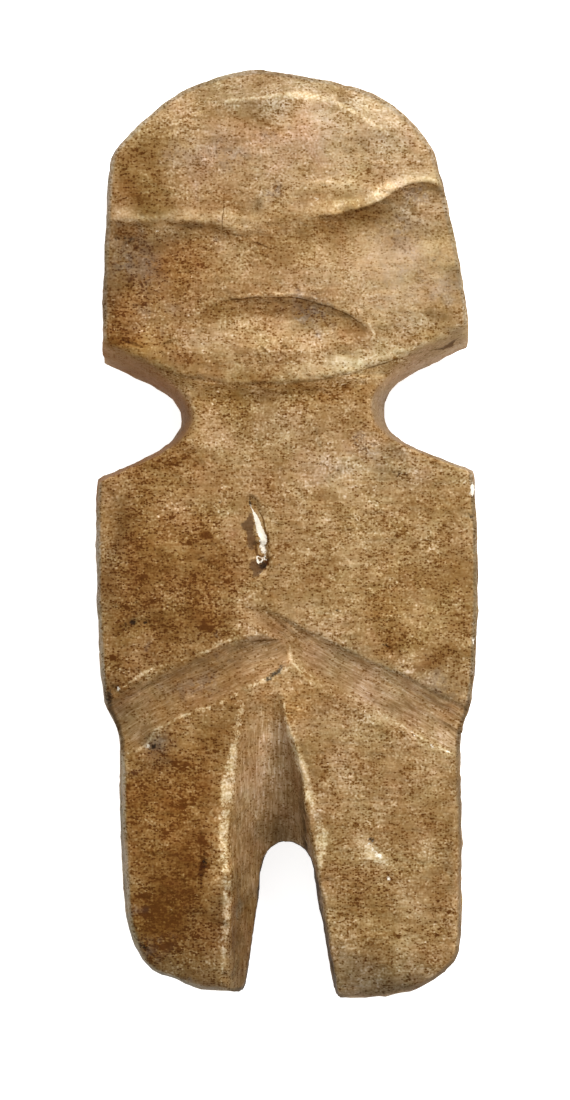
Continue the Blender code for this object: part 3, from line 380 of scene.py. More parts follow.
def polygon_distance(poly, x, y):
    """Distance to a closed outline, positive inside it."""
    best = np.full(x.shape, 1e9)
    inside = np.zeros(x.shape, bool)
    for (ax, ay), (bx, by) in zip(poly, poly[1:] + poly[:1]):
        dx, dy = bx - ax, by - ay
        t = np.clip(((x - ax) * dx + (y - ay) * dy) / max(dx * dx + dy * dy, 1e-12), 0, 1)
        np.minimum(best, (x - ax - t * dx) ** 2 + (y - ay - t * dy) ** 2, out=best)
        if ay != by:
            inside ^= ((ay > y) != (by > y)) & (x < (bx - ax) * (y - ay) / (by - ay) + ax)
    return np.sqrt(best) * np.where(inside, 1.0, -1.0)


def window(x0, x1, y0, y1):
    i0, i1 = max(int((x0 - X0) / STEP), 0), min(int((x1 - X0) / STEP) + 2, NX)
    j0, j1 = max(int((y0 - Y0) / STEP), 0), min(int((y1 - Y0) / STEP) + 2, NY)
    return slice(j0, j1), slice(i0, i1)


def along(path, reach, x=None, y=None):
    """Nearest place on a path (x, y, value...): offset, side, length and values."""
    x = GX if x is None else x
    y = GY if y is None else y
    best = np.full(x.shape, reach * reach, float)
    shape = (path.shape[1] - 2,) + x.shape
    side, length, values = np.zeros(x.shape), np.zeros(x.shape), np.zeros(shape)
    run = 0.0
    for a, b in zip(path, path[1:]):
        dx, dy = b[0] - a[0], b[1] - a[1]
        l2 = dx * dx + dy * dy
        t = np.clip(((x - a[0]) * dx + (y - a[1]) * dy) / l2, 0, 1)
        ox, oy = x - a[0] - t * dx, y - a[1] - t * dy
        d2 = ox * ox + oy * oy
        near = d2 < best
        best[near] = d2[near]
        side[near] = np.sign(dx * (y - a[1]) - dy * (x - a[0]))[near]
        length[near] = run + (t * math.sqrt(l2))[near]
        for k in range(shape[0]):
            values[k][near] = (a[2 + k] + (b[2 + k] - a[2 + k]) * t)[near]
        run += math.sqrt(l2)
    return np.sqrt(best), side, length, values


def table(rows, y, column=1):
    rows = sorted(rows)
    return np.interp(y, [r[0] for r in rows], [r[column] for r in rows])


def notch_path(notch):
    side = 1.0 if notch["apex"][0] > 0 else -1.0
    jaw, apex, shoulder = (np.array(notch[k], float) for k in ("jaw", "apex", "shoulder"))

    def bezier(p, hp, hq, q, n):
        return [p * (1 - t) ** 3 + 3 * hp * t * (1 - t) ** 2 + 3 * hq * t * t * (1 - t) + q * t ** 3
                for t in np.linspace(0, 1, n + 1)]

    depth, rise = abs(jaw[0] - apex[0]), jaw[1] - apex[1]
    upper = bezier(jaw, jaw + np.array((-side * notch["upper"][0] * depth, -notch["upper"][1] * rise)),
                   apex + np.array((0.0, notch["round"][0] * rise)), apex, 16)
    depth, rise = abs(shoulder[0] - apex[0]), apex[1] - shoulder[1]
    lower = bezier(apex, apex - np.array((0.0, notch["round"][1] * rise)),
                   shoulder + np.array((-side * notch["lower"][0] * depth, notch["lower"][1] * rise)), shoulder, 16)
    pts = upper + lower[1:]
    a = pts[0] + (pts[0] - pts[1]) / np.linalg.norm(pts[0] - pts[1]) * 14.0
    b = pts[-1] + (pts[-1] - pts[-2]) / np.linalg.norm(pts[-1] - pts[-2]) * 14.0
    return [tuple(p) for p in [a] + pts + [b]]


def slot_path():
    left, right = SLOT_LEFT, SLOT_RIGHT
    cx, cy = (left[0][0] + right[0][0]) / 2, (left[0][1] + right[0][1]) / 2
    half, rise = (right[0][0] - left[0][0]) / 2, SLOT_TOP[1] - cy
    arch = []
    for k in range(1, 24):
        a = math.pi * (1 - k / 24)
        arch.append((cx + half * math.cos(a), cy + rise * math.sin(a) ** 0.9))
    return left[::-1] + arch + right


# Hand work is never straight: the carving is read through a slightly wandering plan.
WX = GX + 0.22 * grain(11, 5.0) + 0.09 * grain(12, 1.1)
WY = GY + 0.24 * grain(13, 5.0) + 0.10 * grain(14, 1.0)

# Blank
outline = LEFT_SIDE + RIGHT_SIDE[::-1][1:-1]
INSIDE = polygon_distance(outline, GX + 0.05 * grain(15, 2.0), GY + 0.05 * grain(16, 2.0))
INSIDE = blur(INSIDE, 0.35)
INSIDE += 0.055 * grain(17, 5.0) + 0.012 * grain(18, 0.8) - 0.03
lx = np.interp(-YS, [-p[1] for p in LEFT_SIDE], [p[0] for p in LEFT_SIDE])
rx = np.interp(-YS, [-p[1] for p in RIGHT_SIDE], [p[0] for p in RIGHT_SIDE])
EDGE = np.where(GX < 0, table(EDGE_WIDTHS, YS, 1)[:, None], table(EDGE_WIDTHS, YS, 2)[:, None])
el, er = lx + table(EDGE_WIDTHS, YS, 1), rx - table(EDGE_WIDTHS, YS, 2)
half_span = np.maximum((er - el) / 2, 6.0)
share = np.clip((GX - ((el + er) / 2)[:, None]) / half_span[:, None], -1, 1)
TOP = table(FRONT_PROFILE, YS)[:, None] - FRONT_CROWNING * share ** 2
TOP = blur(TOP, 2.0)
LOW = np.repeat(table(BACK_PROFILE, YS)[:, None], NX, axis=1)

# Carving: how deep each cut goes below the front of the blank
depth = np.zeros((NY, NX))

ridge = catmull([p + (d,) for p, d in zip(CROWN_RIDGE, CROWN_DROP)], 6)
w = window(-47, 47, 74, 109)
dist, side, _, drop = along(ridge, 30.0, WX[w], WY[w])
dist *= np.where(side > 0, 1.0, -1.0)
fall = np.interp(dist / CROWN_BAND, [-0.1, 0.0, 0.18, 0.36, 1.0, 2.0], [0, 0.0, 0.17, 0.40, 1.0, 2.1])
ends = smoothstep(0.05, 0.6, drop[0])
depth[w] = np.maximum(depth[w], drop[0] * fall * ends)

lip = catmull([p + rest for p, rest in zip(BROW_LIP, zip(BROW_DEPTH, BROW_WALL, BROW_FADE))], 6)
lip_y, deep, reach, fade = (np.interp(WX, lip[:, 0], lip[:, k]) for k in (1, 2, 3, 4))
below = lip_y - WY
near = np.interp(below / reach, [0, 0.08, 0.2, 0.35, 0.55, 0.75, 1.0], [0, 0.22, 0.46, 0.65, 0.84, 0.95, 1.0])
BROW_BELOW = below
away = 1 - smoothstep(0.0, 1.0, (below - reach) / (fade - reach))
BROW = np.where(below > 0, deep * near * away, 0.0)
left_part = smoothstep(-2.0, -14.0, GX)
depth = np.maximum(depth, blur(BROW, 0.3) * (1 - left_part) + blur(BROW, 0.45) * left_part)

upper, lower = (np.array(catmull([(x, y) for x, y in rows], 6)) for rows in (MOUTH_UPPER, MOUTH_LOWER))
upper, lower = (np.interp(WX, q[:, 0], q[:, 1], left=48.5, right=45.3) for q in (upper, lower))
span = np.maximum(upper - lower, 0.3)
MOUTH_BELOW = upper - WY
MOUTH_T = MOUTH_BELOW / span
opening = np.clip(span / 12.0, 0, 1)
cut = np.interp(MOUTH_BELOW, [0, 0.3, 0.8, 1.4, 2.4, 3.4], [0, 0.34, 0.66, 0.84, 0.97, 1.0])
cut = np.minimum(cut, np.interp(MOUTH_T, [0.35, 0.6, 0.85, 1.0], [1.0, 0.76, 0.28, 0]))
faint = np.interp(WX, [-18, -9, 0, 18], [0.60, 0.80, 1.0, 1.0])
IN_MOUTH = (MOUTH_T > 0) & (MOUTH_T < 1) & (WX > -19.6) & (WX < 19.2)
MOUTH = np.where(IN_MOUTH, MOUTH_DEPTH * faint * opening ** 0.55 * cut, 0.0)
depth = np.maximum(depth, blur(MOUTH, 0.25))

lip = catmull([p + rest for p, rest in zip(CHIN_LIP, zip(NECK_WALL, NECK_FADE))], 6)
lip_y, reach, fade = (np.interp(WX, lip[:, 0], lip[:, k]) for k in (1, 2, 3))
below = lip_y - WY
near = np.interp(below / reach, [0, 0.1, 0.25, 0.45, 0.7, 0.85, 1.0], [0, 0.13, 0.38, 0.68, 0.92, 0.98, 1.0])
away = 1 - smoothstep(-0.25, 1.0, (below - reach) / (fade - reach))
away /= 1 - smoothstep(-0.25, 1.0, np.zeros(1))[0]
CHIN_BELOW = below
NECK = np.where(below > 0, NECK_DEPTH * near * np.minimum(away, 1.0), 0.0)
depth = np.maximum(depth, blur(NECK, 0.5))

GROOVE_U, GROOVE_V = GX.copy(), GY.copy()
HIP = np.zeros((NY, NX))
for axis, w in ((HIP_LEFT, window(-47, 8, -56, -18)), (HIP_RIGHT, window(-14, 47, -56, -12))):
    path = catmull(axis, 5)
    dist, side, length, (half, deep) = along(path, 12.0, WX[w], WY[w])
    half = np.maximum(half, 0.5)
    if axis is HIP_RIGHT:
        # its lower side runs out gently towards the thigh, but for the outer end
        half = half * np.where(side < 0, np.interp(WX[w], [0, 7, 22, 29], [1.0, 1.45, 1.4, 1.0]), 1.0)
    floor_cut = deep * (1 - (dist / half) ** 2)
    hit = floor_cut > HIP[w]
    GROOVE_U[w] = np.where(hit, length, GROOVE_U[w])
    GROOVE_V[w] = np.where(hit, dist * side, GROOVE_V[w])
    HIP[w] = np.maximum(HIP[w], floor_cut)
depth = np.maximum(depth, HIP)

rows = sorted(CHANNEL)
cy = [r[0] for r in rows]
cx0, cx1, cd = (np.interp(WY, cy, [r[k] for r in rows]) for k in (1, 2, 3))
CHAN_S = (WX - cx0) / (cx1 - cx0)
cut = np.interp(CHAN_S, [0, 0.08, 0.20, 0.42, 0.66, 0.84, 0.93, 1.0], [0, 0.22, 0.50, 0.86, 1.0, 0.88, 0.55, 0.0])
CHANNEL_CUT = np.where(WY < CHANNEL[0][0], cd * cut, 0.0)
depth = np.maximum(depth, CHANNEL_CUT)

# Small hollow in the chest: a split pocket with a ledge
hollow = np.zeros((NY, NX))
for x, y, a, b, angle, deep in ((-7.9, 4.6, 1.5, 4.2, 6, 0.55), (-8.4, 1.6, 1.5, 2.8, 0, 0.8),
                                (-6.5, 1.4, 0.8, 3.6, 14, 0.35), (-6.3, -5.0, 1.9, 3.6, 8, 1.1),
                                (-5.6, -8.4, 1.5, 1.6, 0, 0.7), (-5.4, -12.6, 0.7, 2.0, 0, 0.35)):
    c, s = math.cos(math.radians(angle)), math.sin(math.radians(angle))
    px, py = WX + 0.25 * grain(31, 0.7) - x, WY - y
    r2 = ((px * c + py * s) / a) ** 2 + ((-px * s + py * c) / b) ** 2
    hollow = np.maximum(hollow, deep * smoothstep(1.25, 0.55, r2))
depth += hollow
HOLLOW = hollow

# Nicks on the arrises, and chips: (x, y, radius, depth)
NICKS = [(-13.9, -88.4, 0.9, 1.0), (-13.7, -99.7, 1.0, 1.0), (-13.6, -95.2, 0.7, 0.6), (42.2, 10.5, 1.2, 0.9),
         (42.3, -23.9, 1.0, 0.8), (-38.9, -35.2, 1.3, 1.1), (20.3, -71.8, 1.7, 0.25), (36.6, -49.3, 1.1, 0.6),
         (28.9, -45.4, 0.9, 0.5), (-31.4, -48.2, 1.3, 0.6), (-22.9, -41.6, 0.8, 0.5), (-12.7, -37.0, 0.8, 0.5),
         (-17.2, -39.1, 0.7, 0.4), (38.9, 43.9, 1.2, 0.8), (-36.4, 90.2, 1.2, 0.7), (31.5, 91.5, 1.0, 0.5),
         (-41.9, 15.0, 0.9, 0.7), (-42.3, -12.0, 0.8, 0.5), (39.8, -60.0, 1.0, 0.6), (-37.4, -61.0, 1.0, 0.6),
         (-34.8, -92.3, 1.4, 0.9), (38.9, -92.0, 1.2, 0.8), (-34.5, -19.8, 0.8, 0.5), (-31.8, -19.8, 0.8, 0.45),
         (-18.4, -73.7, 1.0, 0.35), (-14.9, 7.4, 0.9, 0.25), (22.3, -25.0, 1.0, 0.3), (9.4, -78.0, 0.9, 0.7)]
ragged = grain(32, 0.5)
for x, y, r, deep in NICKS:
    w = window(x - 3 * r, x + 3 * r, y - 3 * r, y + 3 * r)
    q = np.hypot(GX[w] - x, GY[w] - y) / r * (1 + 0.18 * ragged[w])
    depth[w] += deep * smoothstep(1.35, 0.35, q)

# Worn lips are soft and a little chipped; the broad faces wave gently.
soft = blur(depth, 0.30)
arris = np.clip((soft - blur(depth, 1.1)) / 0.16, -1.5, 1.5)     # negative on lips, positive in creases
chipped = smoothstep(0.4, 1.6, grain(21, 0.9)) * np.clip(-arris, 0, 1)
depth = soft + 0.22 * chipped
FRONT = TOP - depth
FRONT += 0.10 * grain(41, 9.0) + 0.055 * grain(42, 3.2) + 0.03 * grain(43, 1.2) - 0.05

# Back: a shallow hollow behind the neck and a channel above the slot
q = (GY - (27.0 + 0.035 * GX)) / 8.0
LOW = np.maximum(LOW, 1.5 * np.clip(1 - q * q, 0, 1))
t = np.clip((-46.0 - GY) / 32.0, 0, 1)
half = 2.4 + 3.6 * t
LOW = np.maximum(LOW, np.where(GY < -46, (0.3 + 17.5 * t ** 1.9) * np.clip(1 - (np.abs(GX) / half) ** 1.5, 0, 1), 0))
LOW = blur(LOW, 0.5) + 0.05 * np.abs(grain(44, 5.0)) + 0.03 * np.abs(grain(45, 1.5))

# Neck notches and the slot between the legs
far = 9.0
NOTCH = np.full((NY, NX), far)
for notch, w in ((NOTCH_LEFT, window(-47, -12, 0, 56)), (NOTCH_RIGHT, window(12, 47, 0, 58))):
    NOTCH[w] = np.minimum(far, -polygon_distance(notch_path(notch), WX[w] * 0.5 + GX[w] * 0.5, GY[w]))
gy, gx = np.gradient(blur(NOTCH, 0.6), STEP)
steer = np.clip(gy / np.maximum(np.hypot(gx, gy), 0.2), -1, 1)
FLARE = np.interp(steer, [-1, -0.6, 0.0, 1], [1.2, 1.8, 3.6, 3.9])
THROAT = smoothstep(-0.95, -0.5, steer)
SLOT = np.full((NY, NX), far)
w = window(-26, 26, -109, -56)
SLOT[w] = np.minimum(far, -polygon_distance(slot_path(), GX[w] + 0.1 * grain(46, 2.5)[w], GY[w]))
WALLS = 0.05 * grain(47, 2.0)

MAPS = np.stack([FRONT, LOW, INSIDE, EDGE, TOP, NOTCH, FLARE, SLOT, WALLS, THROAT], axis=-1).astype(np.float32)


def read(maps, x, y):
    """Bilinear values of the maps at points."""
    u = np.clip((x - X0) / STEP, 0, NX - 1.001)
    v = np.clip((y - Y0) / STEP, 0, NY - 1.001)
    i, j = u.astype(np.int64), v.astype(np.int64)
    fu, fv = (u - i)[:, None], (v - j)[:, None]
    flat = maps.reshape(NY * NX, -1)
    k = j * NX + i
    return ((flat[k] * (1 - fu) + flat[k + 1] * fu) * (1 - fv)
            + (flat[k + NX] * (1 - fu) + flat[k + NX + 1] * fu) * fv)


def solid(p):
    """Smooth depth inside the stone, zero on its surface."""
    s = read(MAPS, p[:, 0], p[:, 1])
    front, low, inside, edge, top, notch, flare, slot, walls, throat = s.T
    z = p[:, 2]
    under = top - z
    inset = edge * np.interp(under / edge, [0, 0.2, 0.5, 1.0, 1.6, 3.0, 6.0], [1, 0.68, 0.42, 0.22, 0.10, 0.03, 0.0])
    inset += 3.4 * np.interp(z - low, [0, 0.5, 1.3, 2.6, 4.2, 7.0, 10.0], [1, 0.74, 0.45, 0.24, 0.12, 0.03, 0.0])
    up = np.clip((z - WAIST) / (33.0 - WAIST), 0, 1.3)
    down = np.clip((WAIST - z) / WAIST, 0, 1)
    walls = walls * np.clip((front - z) / 4.0, 0, 1)
    bend = 1.5 * throat * np.interp(front - z, [0, 0.4, 0.9, 1.8, 2.9, 5.5], [1, 0.68, 0.42, 0.22, 0.10, 0.0])
    terms = (front - z, z - low, inside - inset + walls,
             notch - flare * (up ** 2 + 0.82 * down ** 2.4) - bend + walls,
             slot - 1.0 * up ** 1.7 - 2.4 * down ** 2.6 + walls)
    k = 0.26
    least = np.minimum.reduce(terms)
    return least - k * np.log(sum(np.exp(-(t - least) / k) for t in terms))


def slope(p, f):
    h = 0.08
    g = np.empty_like(p)
    for axis in range(3):
        q = p.copy()
        q[:, axis] += h
        g[:, axis] = (solid(q) - f) / h
    return g


def project(p, rounds, most=0.5):
    for _ in range(rounds):
        f = solid(p)
        g = slope(p, f)
        step = (-f / np.maximum((g * g).sum(1), 0.3))[:, None] * g
        size = np.linalg.norm(step, axis=1, keepdims=True)
        p = p + step * np.minimum(1.0, most / np.maximum(size, 1e-9))
    return p


def noise(p, size, seed):
    """Value noise in space, unit spread; size is a number or one per axis, in mm."""
    lattice = np.random.default_rng(seed).standard_normal((32, 32, 32)).astype(np.float32)
    q = p / np.asarray(size, float)
    i = np.floor(q).astype(np.int64)
    f = q - i
    f = f * f * (3 - 2 * f)
    out = np.zeros(len(p))
    for dx in (0, 1):
        for dy in (0, 1):
            for dz in (0, 1):
                weight = ((f[:, 0] if dx else 1 - f[:, 0]) * (f[:, 1] if dy else 1 - f[:, 1])
                          * (f[:, 2] if dz else 1 - f[:, 2]))
                out += weight * lattice[(i[:, 0] + dx) & 31, (i[:, 1] + dy) & 31, (i[:, 2] + dz) & 31]
    return out / 0.55


def coordinates(mesh):
    co = np.empty(len(mesh.vertices) * 3)
    mesh.vertices.foreach_get("co", co)
    return co.reshape(-1, 3) / MM


def applied(obj):
    """The object's mesh with its modifiers, which are then dropped."""
    mesh = bpy.data.meshes.new_from_object(obj.evaluated_get(bpy.context.evaluated_depsgraph_get()))
    obj.modifiers.clear()
    old, obj.data = obj.data, mesh
    if old.users == 0:
        bpy.data.meshes.remove(old)
    return mesh


node = bpy.data.objects["figurine"]
stone = bpy.data.objects.new("figurine_stone", node.data.copy())
bpy.context.scene.collection.objects.link(stone)
mod = stone.modifiers.new("remesh", 'REMESH')
mod.mode = 'VOXEL'
mod.voxel_size = 0.42 * MM
mod.adaptivity = 0.0
mesh = applied(stone)

p = project(coordinates(mesh), 5)
edges = np.empty(len(mesh.edges) * 2, np.int32)
mesh.edges.foreach_get("vertices", edges)
a, b = edges[0::2], edges[1::2]
count = np.bincount(a, minlength=len(p)) + np.bincount(b, minlength=len(p))
for _ in range(4):
    mean = np.stack([np.bincount(a, p[b, k], len(p)) + np.bincount(b, p[a, k], len(p)) for k in range(3)], 1)
    mean /= count[:, None]
    g = slope(p, solid(p))
    g /= np.maximum(np.linalg.norm(g, axis=1, keepdims=True), 1e-6)
    move = (mean - p) * 0.6
    p = p + move - g * (move * g).sum(1, keepdims=True)
    p = project(p, 1)
p = project(p, 2)

# Fine relief: grain all over, sawing and grinding marks in the cuts
f = solid(p)
g = slope(p, f)
normal = -g / np.maximum(np.linalg.norm(g, axis=1, keepdims=True), 1e-6)
extra = np.stack([HIP, CHANNEL_CUT, GROOVE_U, GROOVE_V, FRONT, NECK, BROW], axis=-1).astype(np.float32)
hip, chan, gu, gv, front, neck, brow = read(extra, p[:, 0], p[:, 1]).T
on_front = smoothstep(1.2, 0.4, front - p[:, 2])
in_hip = smoothstep(0.3, 1.0, hip) * on_front
in_chan = smoothstep(0.5, 1.6, chan) * on_front
on_face = on_front * (1 - in_hip) * (1 - in_chan)
wall = 1 - on_front
relief = 0.030 * noise(p, 0.9, 51) + 0.035 * noise(p, 2.1, 52) + 0.05 * noise(p, 5.0, 53)
relief *= 1 - 0.5 * smoothstep(0.4, 0.9, -normal[:, 2])
pits = smoothstep(1.25, 2.2, noise(p, 1.3, 54)) * (0.4 + 0.6 * smoothstep(-0.5, 1.0, noise(p, 9.0, 55)))
relief -= 0.16 * pits * (1 - 0.7 * in_hip) * (1 - 0.7 * in_chan)
flat = np.zeros_like(gu)
relief += 0.035 * on_face * noise(np.stack([p[:, 0], p[:, 1], flat], 1), (7.0, 0.75, 1.0), 56)
relief += 0.060 * in_hip * noise(np.stack([gu, gv, flat], 1), (9.0, 0.95, 1.0), 57)
relief += 0.060 * in_chan * noise(np.stack([p[:, 0] + 0.06 * p[:, 1], p[:, 1], flat], 1), (0.9, 10.0, 1.0), 58)
relief += 0.050 * wall * noise(p, (2.5, 2.5, 0.9), 59)
resting = smoothstep(0.25, 0.05, p[:, 2])
p = p + normal * (relief * (1 - resting))[:, None]
p[:, 2] = np.maximum(p[:, 2], 0.0)
mesh.vertices.foreach_set("co", (p * MM).ravel())
mesh.update()

# Fewer triangles on the walls and the back than on the front
keep = stone.vertex_groups.new(name="plain")
weight = np.clip(0.12 + 0.55 * wall + 0.33 * smoothstep(0.3, 0.8, -normal[:, 2]), 0.05, 1.0)
levels = np.round(weight * 10).astype(int)
for level in np.unique(levels):
    keep.add(np.nonzero(levels == level)[0].tolist(), level / 10.0, 'REPLACE')
mesh.calc_loop_triangles()
mod = stone.modifiers.new("reduce", 'DECIMATE')
mod.decimate_type = 'COLLAPSE'
mod.ratio = TRIANGLES / len(mesh.loop_triangles)
mod.use_collapse_triangulate = True
mod.vertex_group = "plain"
mod.vertex_group_factor = 1.0
before = len(mesh.loop_triangles)
mesh = applied(stone)
stone.vertex_groups.clear()
mesh.calc_loop_triangles()
print("triangles", before, "->", len(mesh.loop_triangles))
mesh.shade_smooth()

# ------------------------------------------------------------ surface records
# What the stone is like at each point, for the material; some records also carry painted light and shade.
p = coordinates(mesh)
front, low, inside, edge, top, notch, flare, slot, _, throat = read(MAPS, p[:, 0], p[:, 1]).T
steer_p = read(steer[..., None].astype(np.float32), p[:, 0], p[:, 1])[:, 0]


def line_field(lines):
    """Signed distance to the nearest of the lines in half widths, and its strength."""
    offset, strength = np.full((NY, NX), 9.0), np.zeros((NY, NX))
    for points in lines:
        path = catmull(points, 5)
        w = window(path[:, 0].min() - 3, path[:, 0].max() + 3, path[:, 1].min() - 3, path[:, 1].max() + 3)
        dist, side, _, (half, power) = along(path, 2.6, WX[w], WY[w])
        half = np.maximum(half, 0.08) * (1 + 0.3 * grain(63, 2.4)[w])
        here = np.where(dist < 2.6, dist / half, 9.0)
        near = here < np.abs(offset[w])
        offset[w] = np.where(near, here * np.where(side < 0, -1.0, 1.0), offset[w])
        strength[w] = np.where(near, power * smoothstep(2.5, 1.2, dist), strength[w])
    return np.clip(offset, -9, 9), np.clip(strength, 0, 1.5)


WOBBLE, WOBBLE_FINE = grain(61, 3.0), grain(62, 0.8)


def stain_map(rows):
    out = np.zeros((NY, NX))
    for x, y, a, b, angle, strength in rows:
        c, s = math.cos(math.radians(angle)), math.sin(math.radians(angle))
        reach = 2.6 * max(a, b)
        w = window(x - reach, x + reach, y - reach, y + reach)
        px, py = GX[w] - x, GY[w] - y
        r = np.sqrt(((px * c + py * s) / a) ** 2 + ((-px * s + py * c) / b) ** 2)
        r = r * (1 + 0.25 * WOBBLE[w] + 0.25 * WOBBLE_FINE[w])
        out[w] = np.maximum(out[w], strength * np.exp(-r * r))
    return out


def change_map(rows):
    """Soft patches added up, with wandering edges."""
    wx, wy = GX + 2.2 * grain(64, 5.0) + 0.8 * grain(65, 1.8), GY + 2.0 * grain(66, 5.0) + 0.7 * grain(67, 1.8)
    out = np.zeros((NY, NX))
    for x, y, a, b, change in rows:
        w = window(x - 3 * a - 6, x + 3 * a + 6, y - 3 * b - 6, y + 3 * b + 6)
        out[w] += change * np.exp(-((wx[w] - x) / a) ** 2 - ((wy[w] - y) / b) ** 2)
    return out


plan = {"film_and_painted_shade": change_map(CHANGES["film_and_painted_shade"]), "grime_and_painted_light": change_map(CHANGES["grime_and_painted_light"]), "calm": change_map(CHANGES["calm"]),
        "red": change_map(CHANGES["red"])}
plan["worn_at"], plan["worn_of"] = line_field(WORN.values())
plan["crease_at"], plan["crease_of"] = line_field(CREASES.values())
above = np.maximum(-BROW_BELOW, 0)
right_lip = np.interp(GX, [1, 7, 13, 33, 38], [0, 0.7, 1, 1, 0.4])
left_lip = np.interp(GX, [-41, -38, -14, -6], [0.5, 1, 1, 0])
ragged = 0.5 * grain(68, 1.6) + 0.3 * grain(69, 0.6)
left_ledge = left_lip * smoothstep(4.6, 2.6, above + ragged) * smoothstep(0.4, -0.3, BROW_BELOW)
right_ledge = right_lip * np.exp(-(np.maximum(above + ragged - 0.8, 0) / 2.2) ** 2) * smoothstep(0.3, -0.2, BROW_BELOW)
chin_above = np.maximum(-CHIN_BELOW, 0)
chin_lip = np.interp(GX, [-41, -30, -18, 40], [0.8, 0.8, 1.0, 1.0])
chin_ledge = chin_lip * smoothstep(4.4, 1.8, chin_above + 1.3 * ragged) * smoothstep(0.4, -0.2, CHIN_BELOW)
plan["ledge"] = np.maximum.reduce([0.85 * left_ledge, right_ledge, 0.8 * chin_ledge])
# Painted shade below the brow lips and in the upper part of the mouth, and painted light on the lower part of the
# mouth; this shade map is added to the film.
under_left = smoothstep(-0.2, 0.5, BROW_BELOW) * np.exp(-(BROW_BELOW / 7.0) ** 2) * left_lip
mouth_light = IN_MOUTH * smoothstep(3.4, 5.6, MOUTH_BELOW) * np.clip(span / 3.0, 0, 1) * smoothstep(-15, -8, GX)
under_right = smoothstep(-0.1, 0.4, BROW_BELOW) * np.exp(-(np.maximum(BROW_BELOW - 1.2, 0) / 2.8) ** 2) * right_lip
mouth_dark = IN_MOUTH * smoothstep(4.9, 3.1, MOUTH_BELOW) * smoothstep(0.0, 0.5, MOUTH_BELOW) * np.clip(span / 4.0, 0, 1)
plan["shade"] = 0.75 * under_right + 0.45 * under_left + 0.9 * mouth_dark - 0.30 * mouth_light
# Painted light on the lower mouth and the right brow lip, and below it painted light under the chin lip; both lighten
# the grime.
plan["rubbed"] = mouth_light + 1.3 * right_ledge * np.interp(GX, [4, 8, 22, 27], [0, 1, 1, 0])
plan["chin_under"] = (smoothstep(0.2, 1.0, CHIN_BELOW) * np.exp(-(CHIN_BELOW / 4.2) ** 2)
                      * np.interp(GX, [-30, -18, 18, 30], [0, 1, 1, 0]))
for name, rows in STAINS.items():
    plan[name] = stain_map(rows)
plan["arris"] = np.clip(-arris, 0, 1)
lower_slope = (GROOVE_V < 0) & (GX > 1) & (GX < 27) & (GY < -22)
plan["hip"] = np.where(lower_slope, smoothstep(1.2, 2.4, HIP), smoothstep(0.25, 1.1, HIP))
plan["channel"] = smoothstep(0.5, 3.2, CHANNEL_CUT) * (GY < -36)
plan["hollow"] = stain_map([(-8.4, 2.6, 0.9, 2.4, 0, 1.0), (-8.0, -0.6, 0.9, 2.2, 10, 1.0), (-6.0, -7.0, 1.7, 1.3, 0, 0.9)])
plan["white_at"], plan["white_of"] = line_field(WHITES.values())
plan["groove_u"], plan["groove_v"] = GROOVE_U, GROOVE_V
names = list(plan)
values = read(np.stack([plan[n] for n in names], axis=-1).astype(np.float32), p[:, 0], p[:, 1]).T
at = dict(zip(names, values))

beneath = front - p[:, 2]
on_front = smoothstep(1.1, 0.35, beneath)
wall = smoothstep(0.35, 1.6, beneath)
back = smoothstep(0.8, 0.1, p[:, 2] - low)
cuts = np.maximum(at["hip"], at["channel"]) * (1 - wall)
in_slot = wall * smoothstep(2.6, 1.2, slot)
in_notch = wall * smoothstep(9.0, 2.5, notch)
outer = np.clip(wall - in_slot - in_notch, 0, 1)
rim = on_front * np.exp(-(np.maximum(inside - edge - 0.2, 0) / 0.7) ** 2)


def toward(value, target, share):
    return value + (target - value) * share


left = smoothstep(2.0, -2.0, p[:, 0])
wide = 0.55 * left * smoothstep(-48.0, -56.0, p[:, 1]) * smoothstep(-96.0, -90.0, p[:, 1])
border = smoothstep(1.35, 0.85, inside - wide) * (1 - in_notch) * (1 - in_slot)
# The film, with the painted shade and light of the brow and mouth added in.
film_and_painted_shade = 1.02 + 1.1 * at["film_and_painted_shade"] - 0.55 * at["ledge"] + 0.45 * at["shade"]
head = smoothstep(38.0, 42.0, p[:, 1])
film_and_painted_shade = toward(film_and_painted_shade, 0.45 * head + (0.75 - 0.78 * left) * (1 - head), 0.85 * border)
film_and_painted_shade = toward(film_and_painted_shade, 0.90 + 0.24 * left * at["hip"] + 0.3 * at["film_and_painted_shade"], 0.85 * cuts)
# Painted shade: a darker, browner band on the front along the inner edges of the neck notches.
throat_band = throat * smoothstep(0.9, 0.5, steer_p) * smoothstep(3.2, 1.0, notch) * (1 - wall)
film_and_painted_shade = film_and_painted_shade + 0.25 * throat_band
film_and_painted_shade = toward(film_and_painted_shade, 1.36 + 0.25 * left, in_slot)
deep = smoothstep(7.0, 17.0, beneath)
film_and_painted_shade = toward(film_and_painted_shade, 0.70 + 0.62 * left + (0.2 - 0.5 * left) * deep, in_notch)
sway = (1.3 * np.sin(0.23 * p[:, 1] + 1.0) + 0.9 * np.sin(0.61 * p[:, 1] + 0.5 * p[:, 0] + 2.3)
        + 0.6 * np.sin(1.37 * p[:, 1] - 0.8 * p[:, 0] + 0.4))
low_wall = outer * smoothstep(0.6, 7.0, beneath + sway)
film_and_painted_shade = toward(film_and_painted_shade, 1.2 - 1.10 * left - 0.60 * left * smoothstep(-45.0, -60.0, p[:, 1]), outer - low_wall)
film_and_painted_shade = toward(film_and_painted_shade, 1.05 - 0.25 * left, low_wall)
film_and_painted_shade = toward(film_and_painted_shade, 1.15, back)
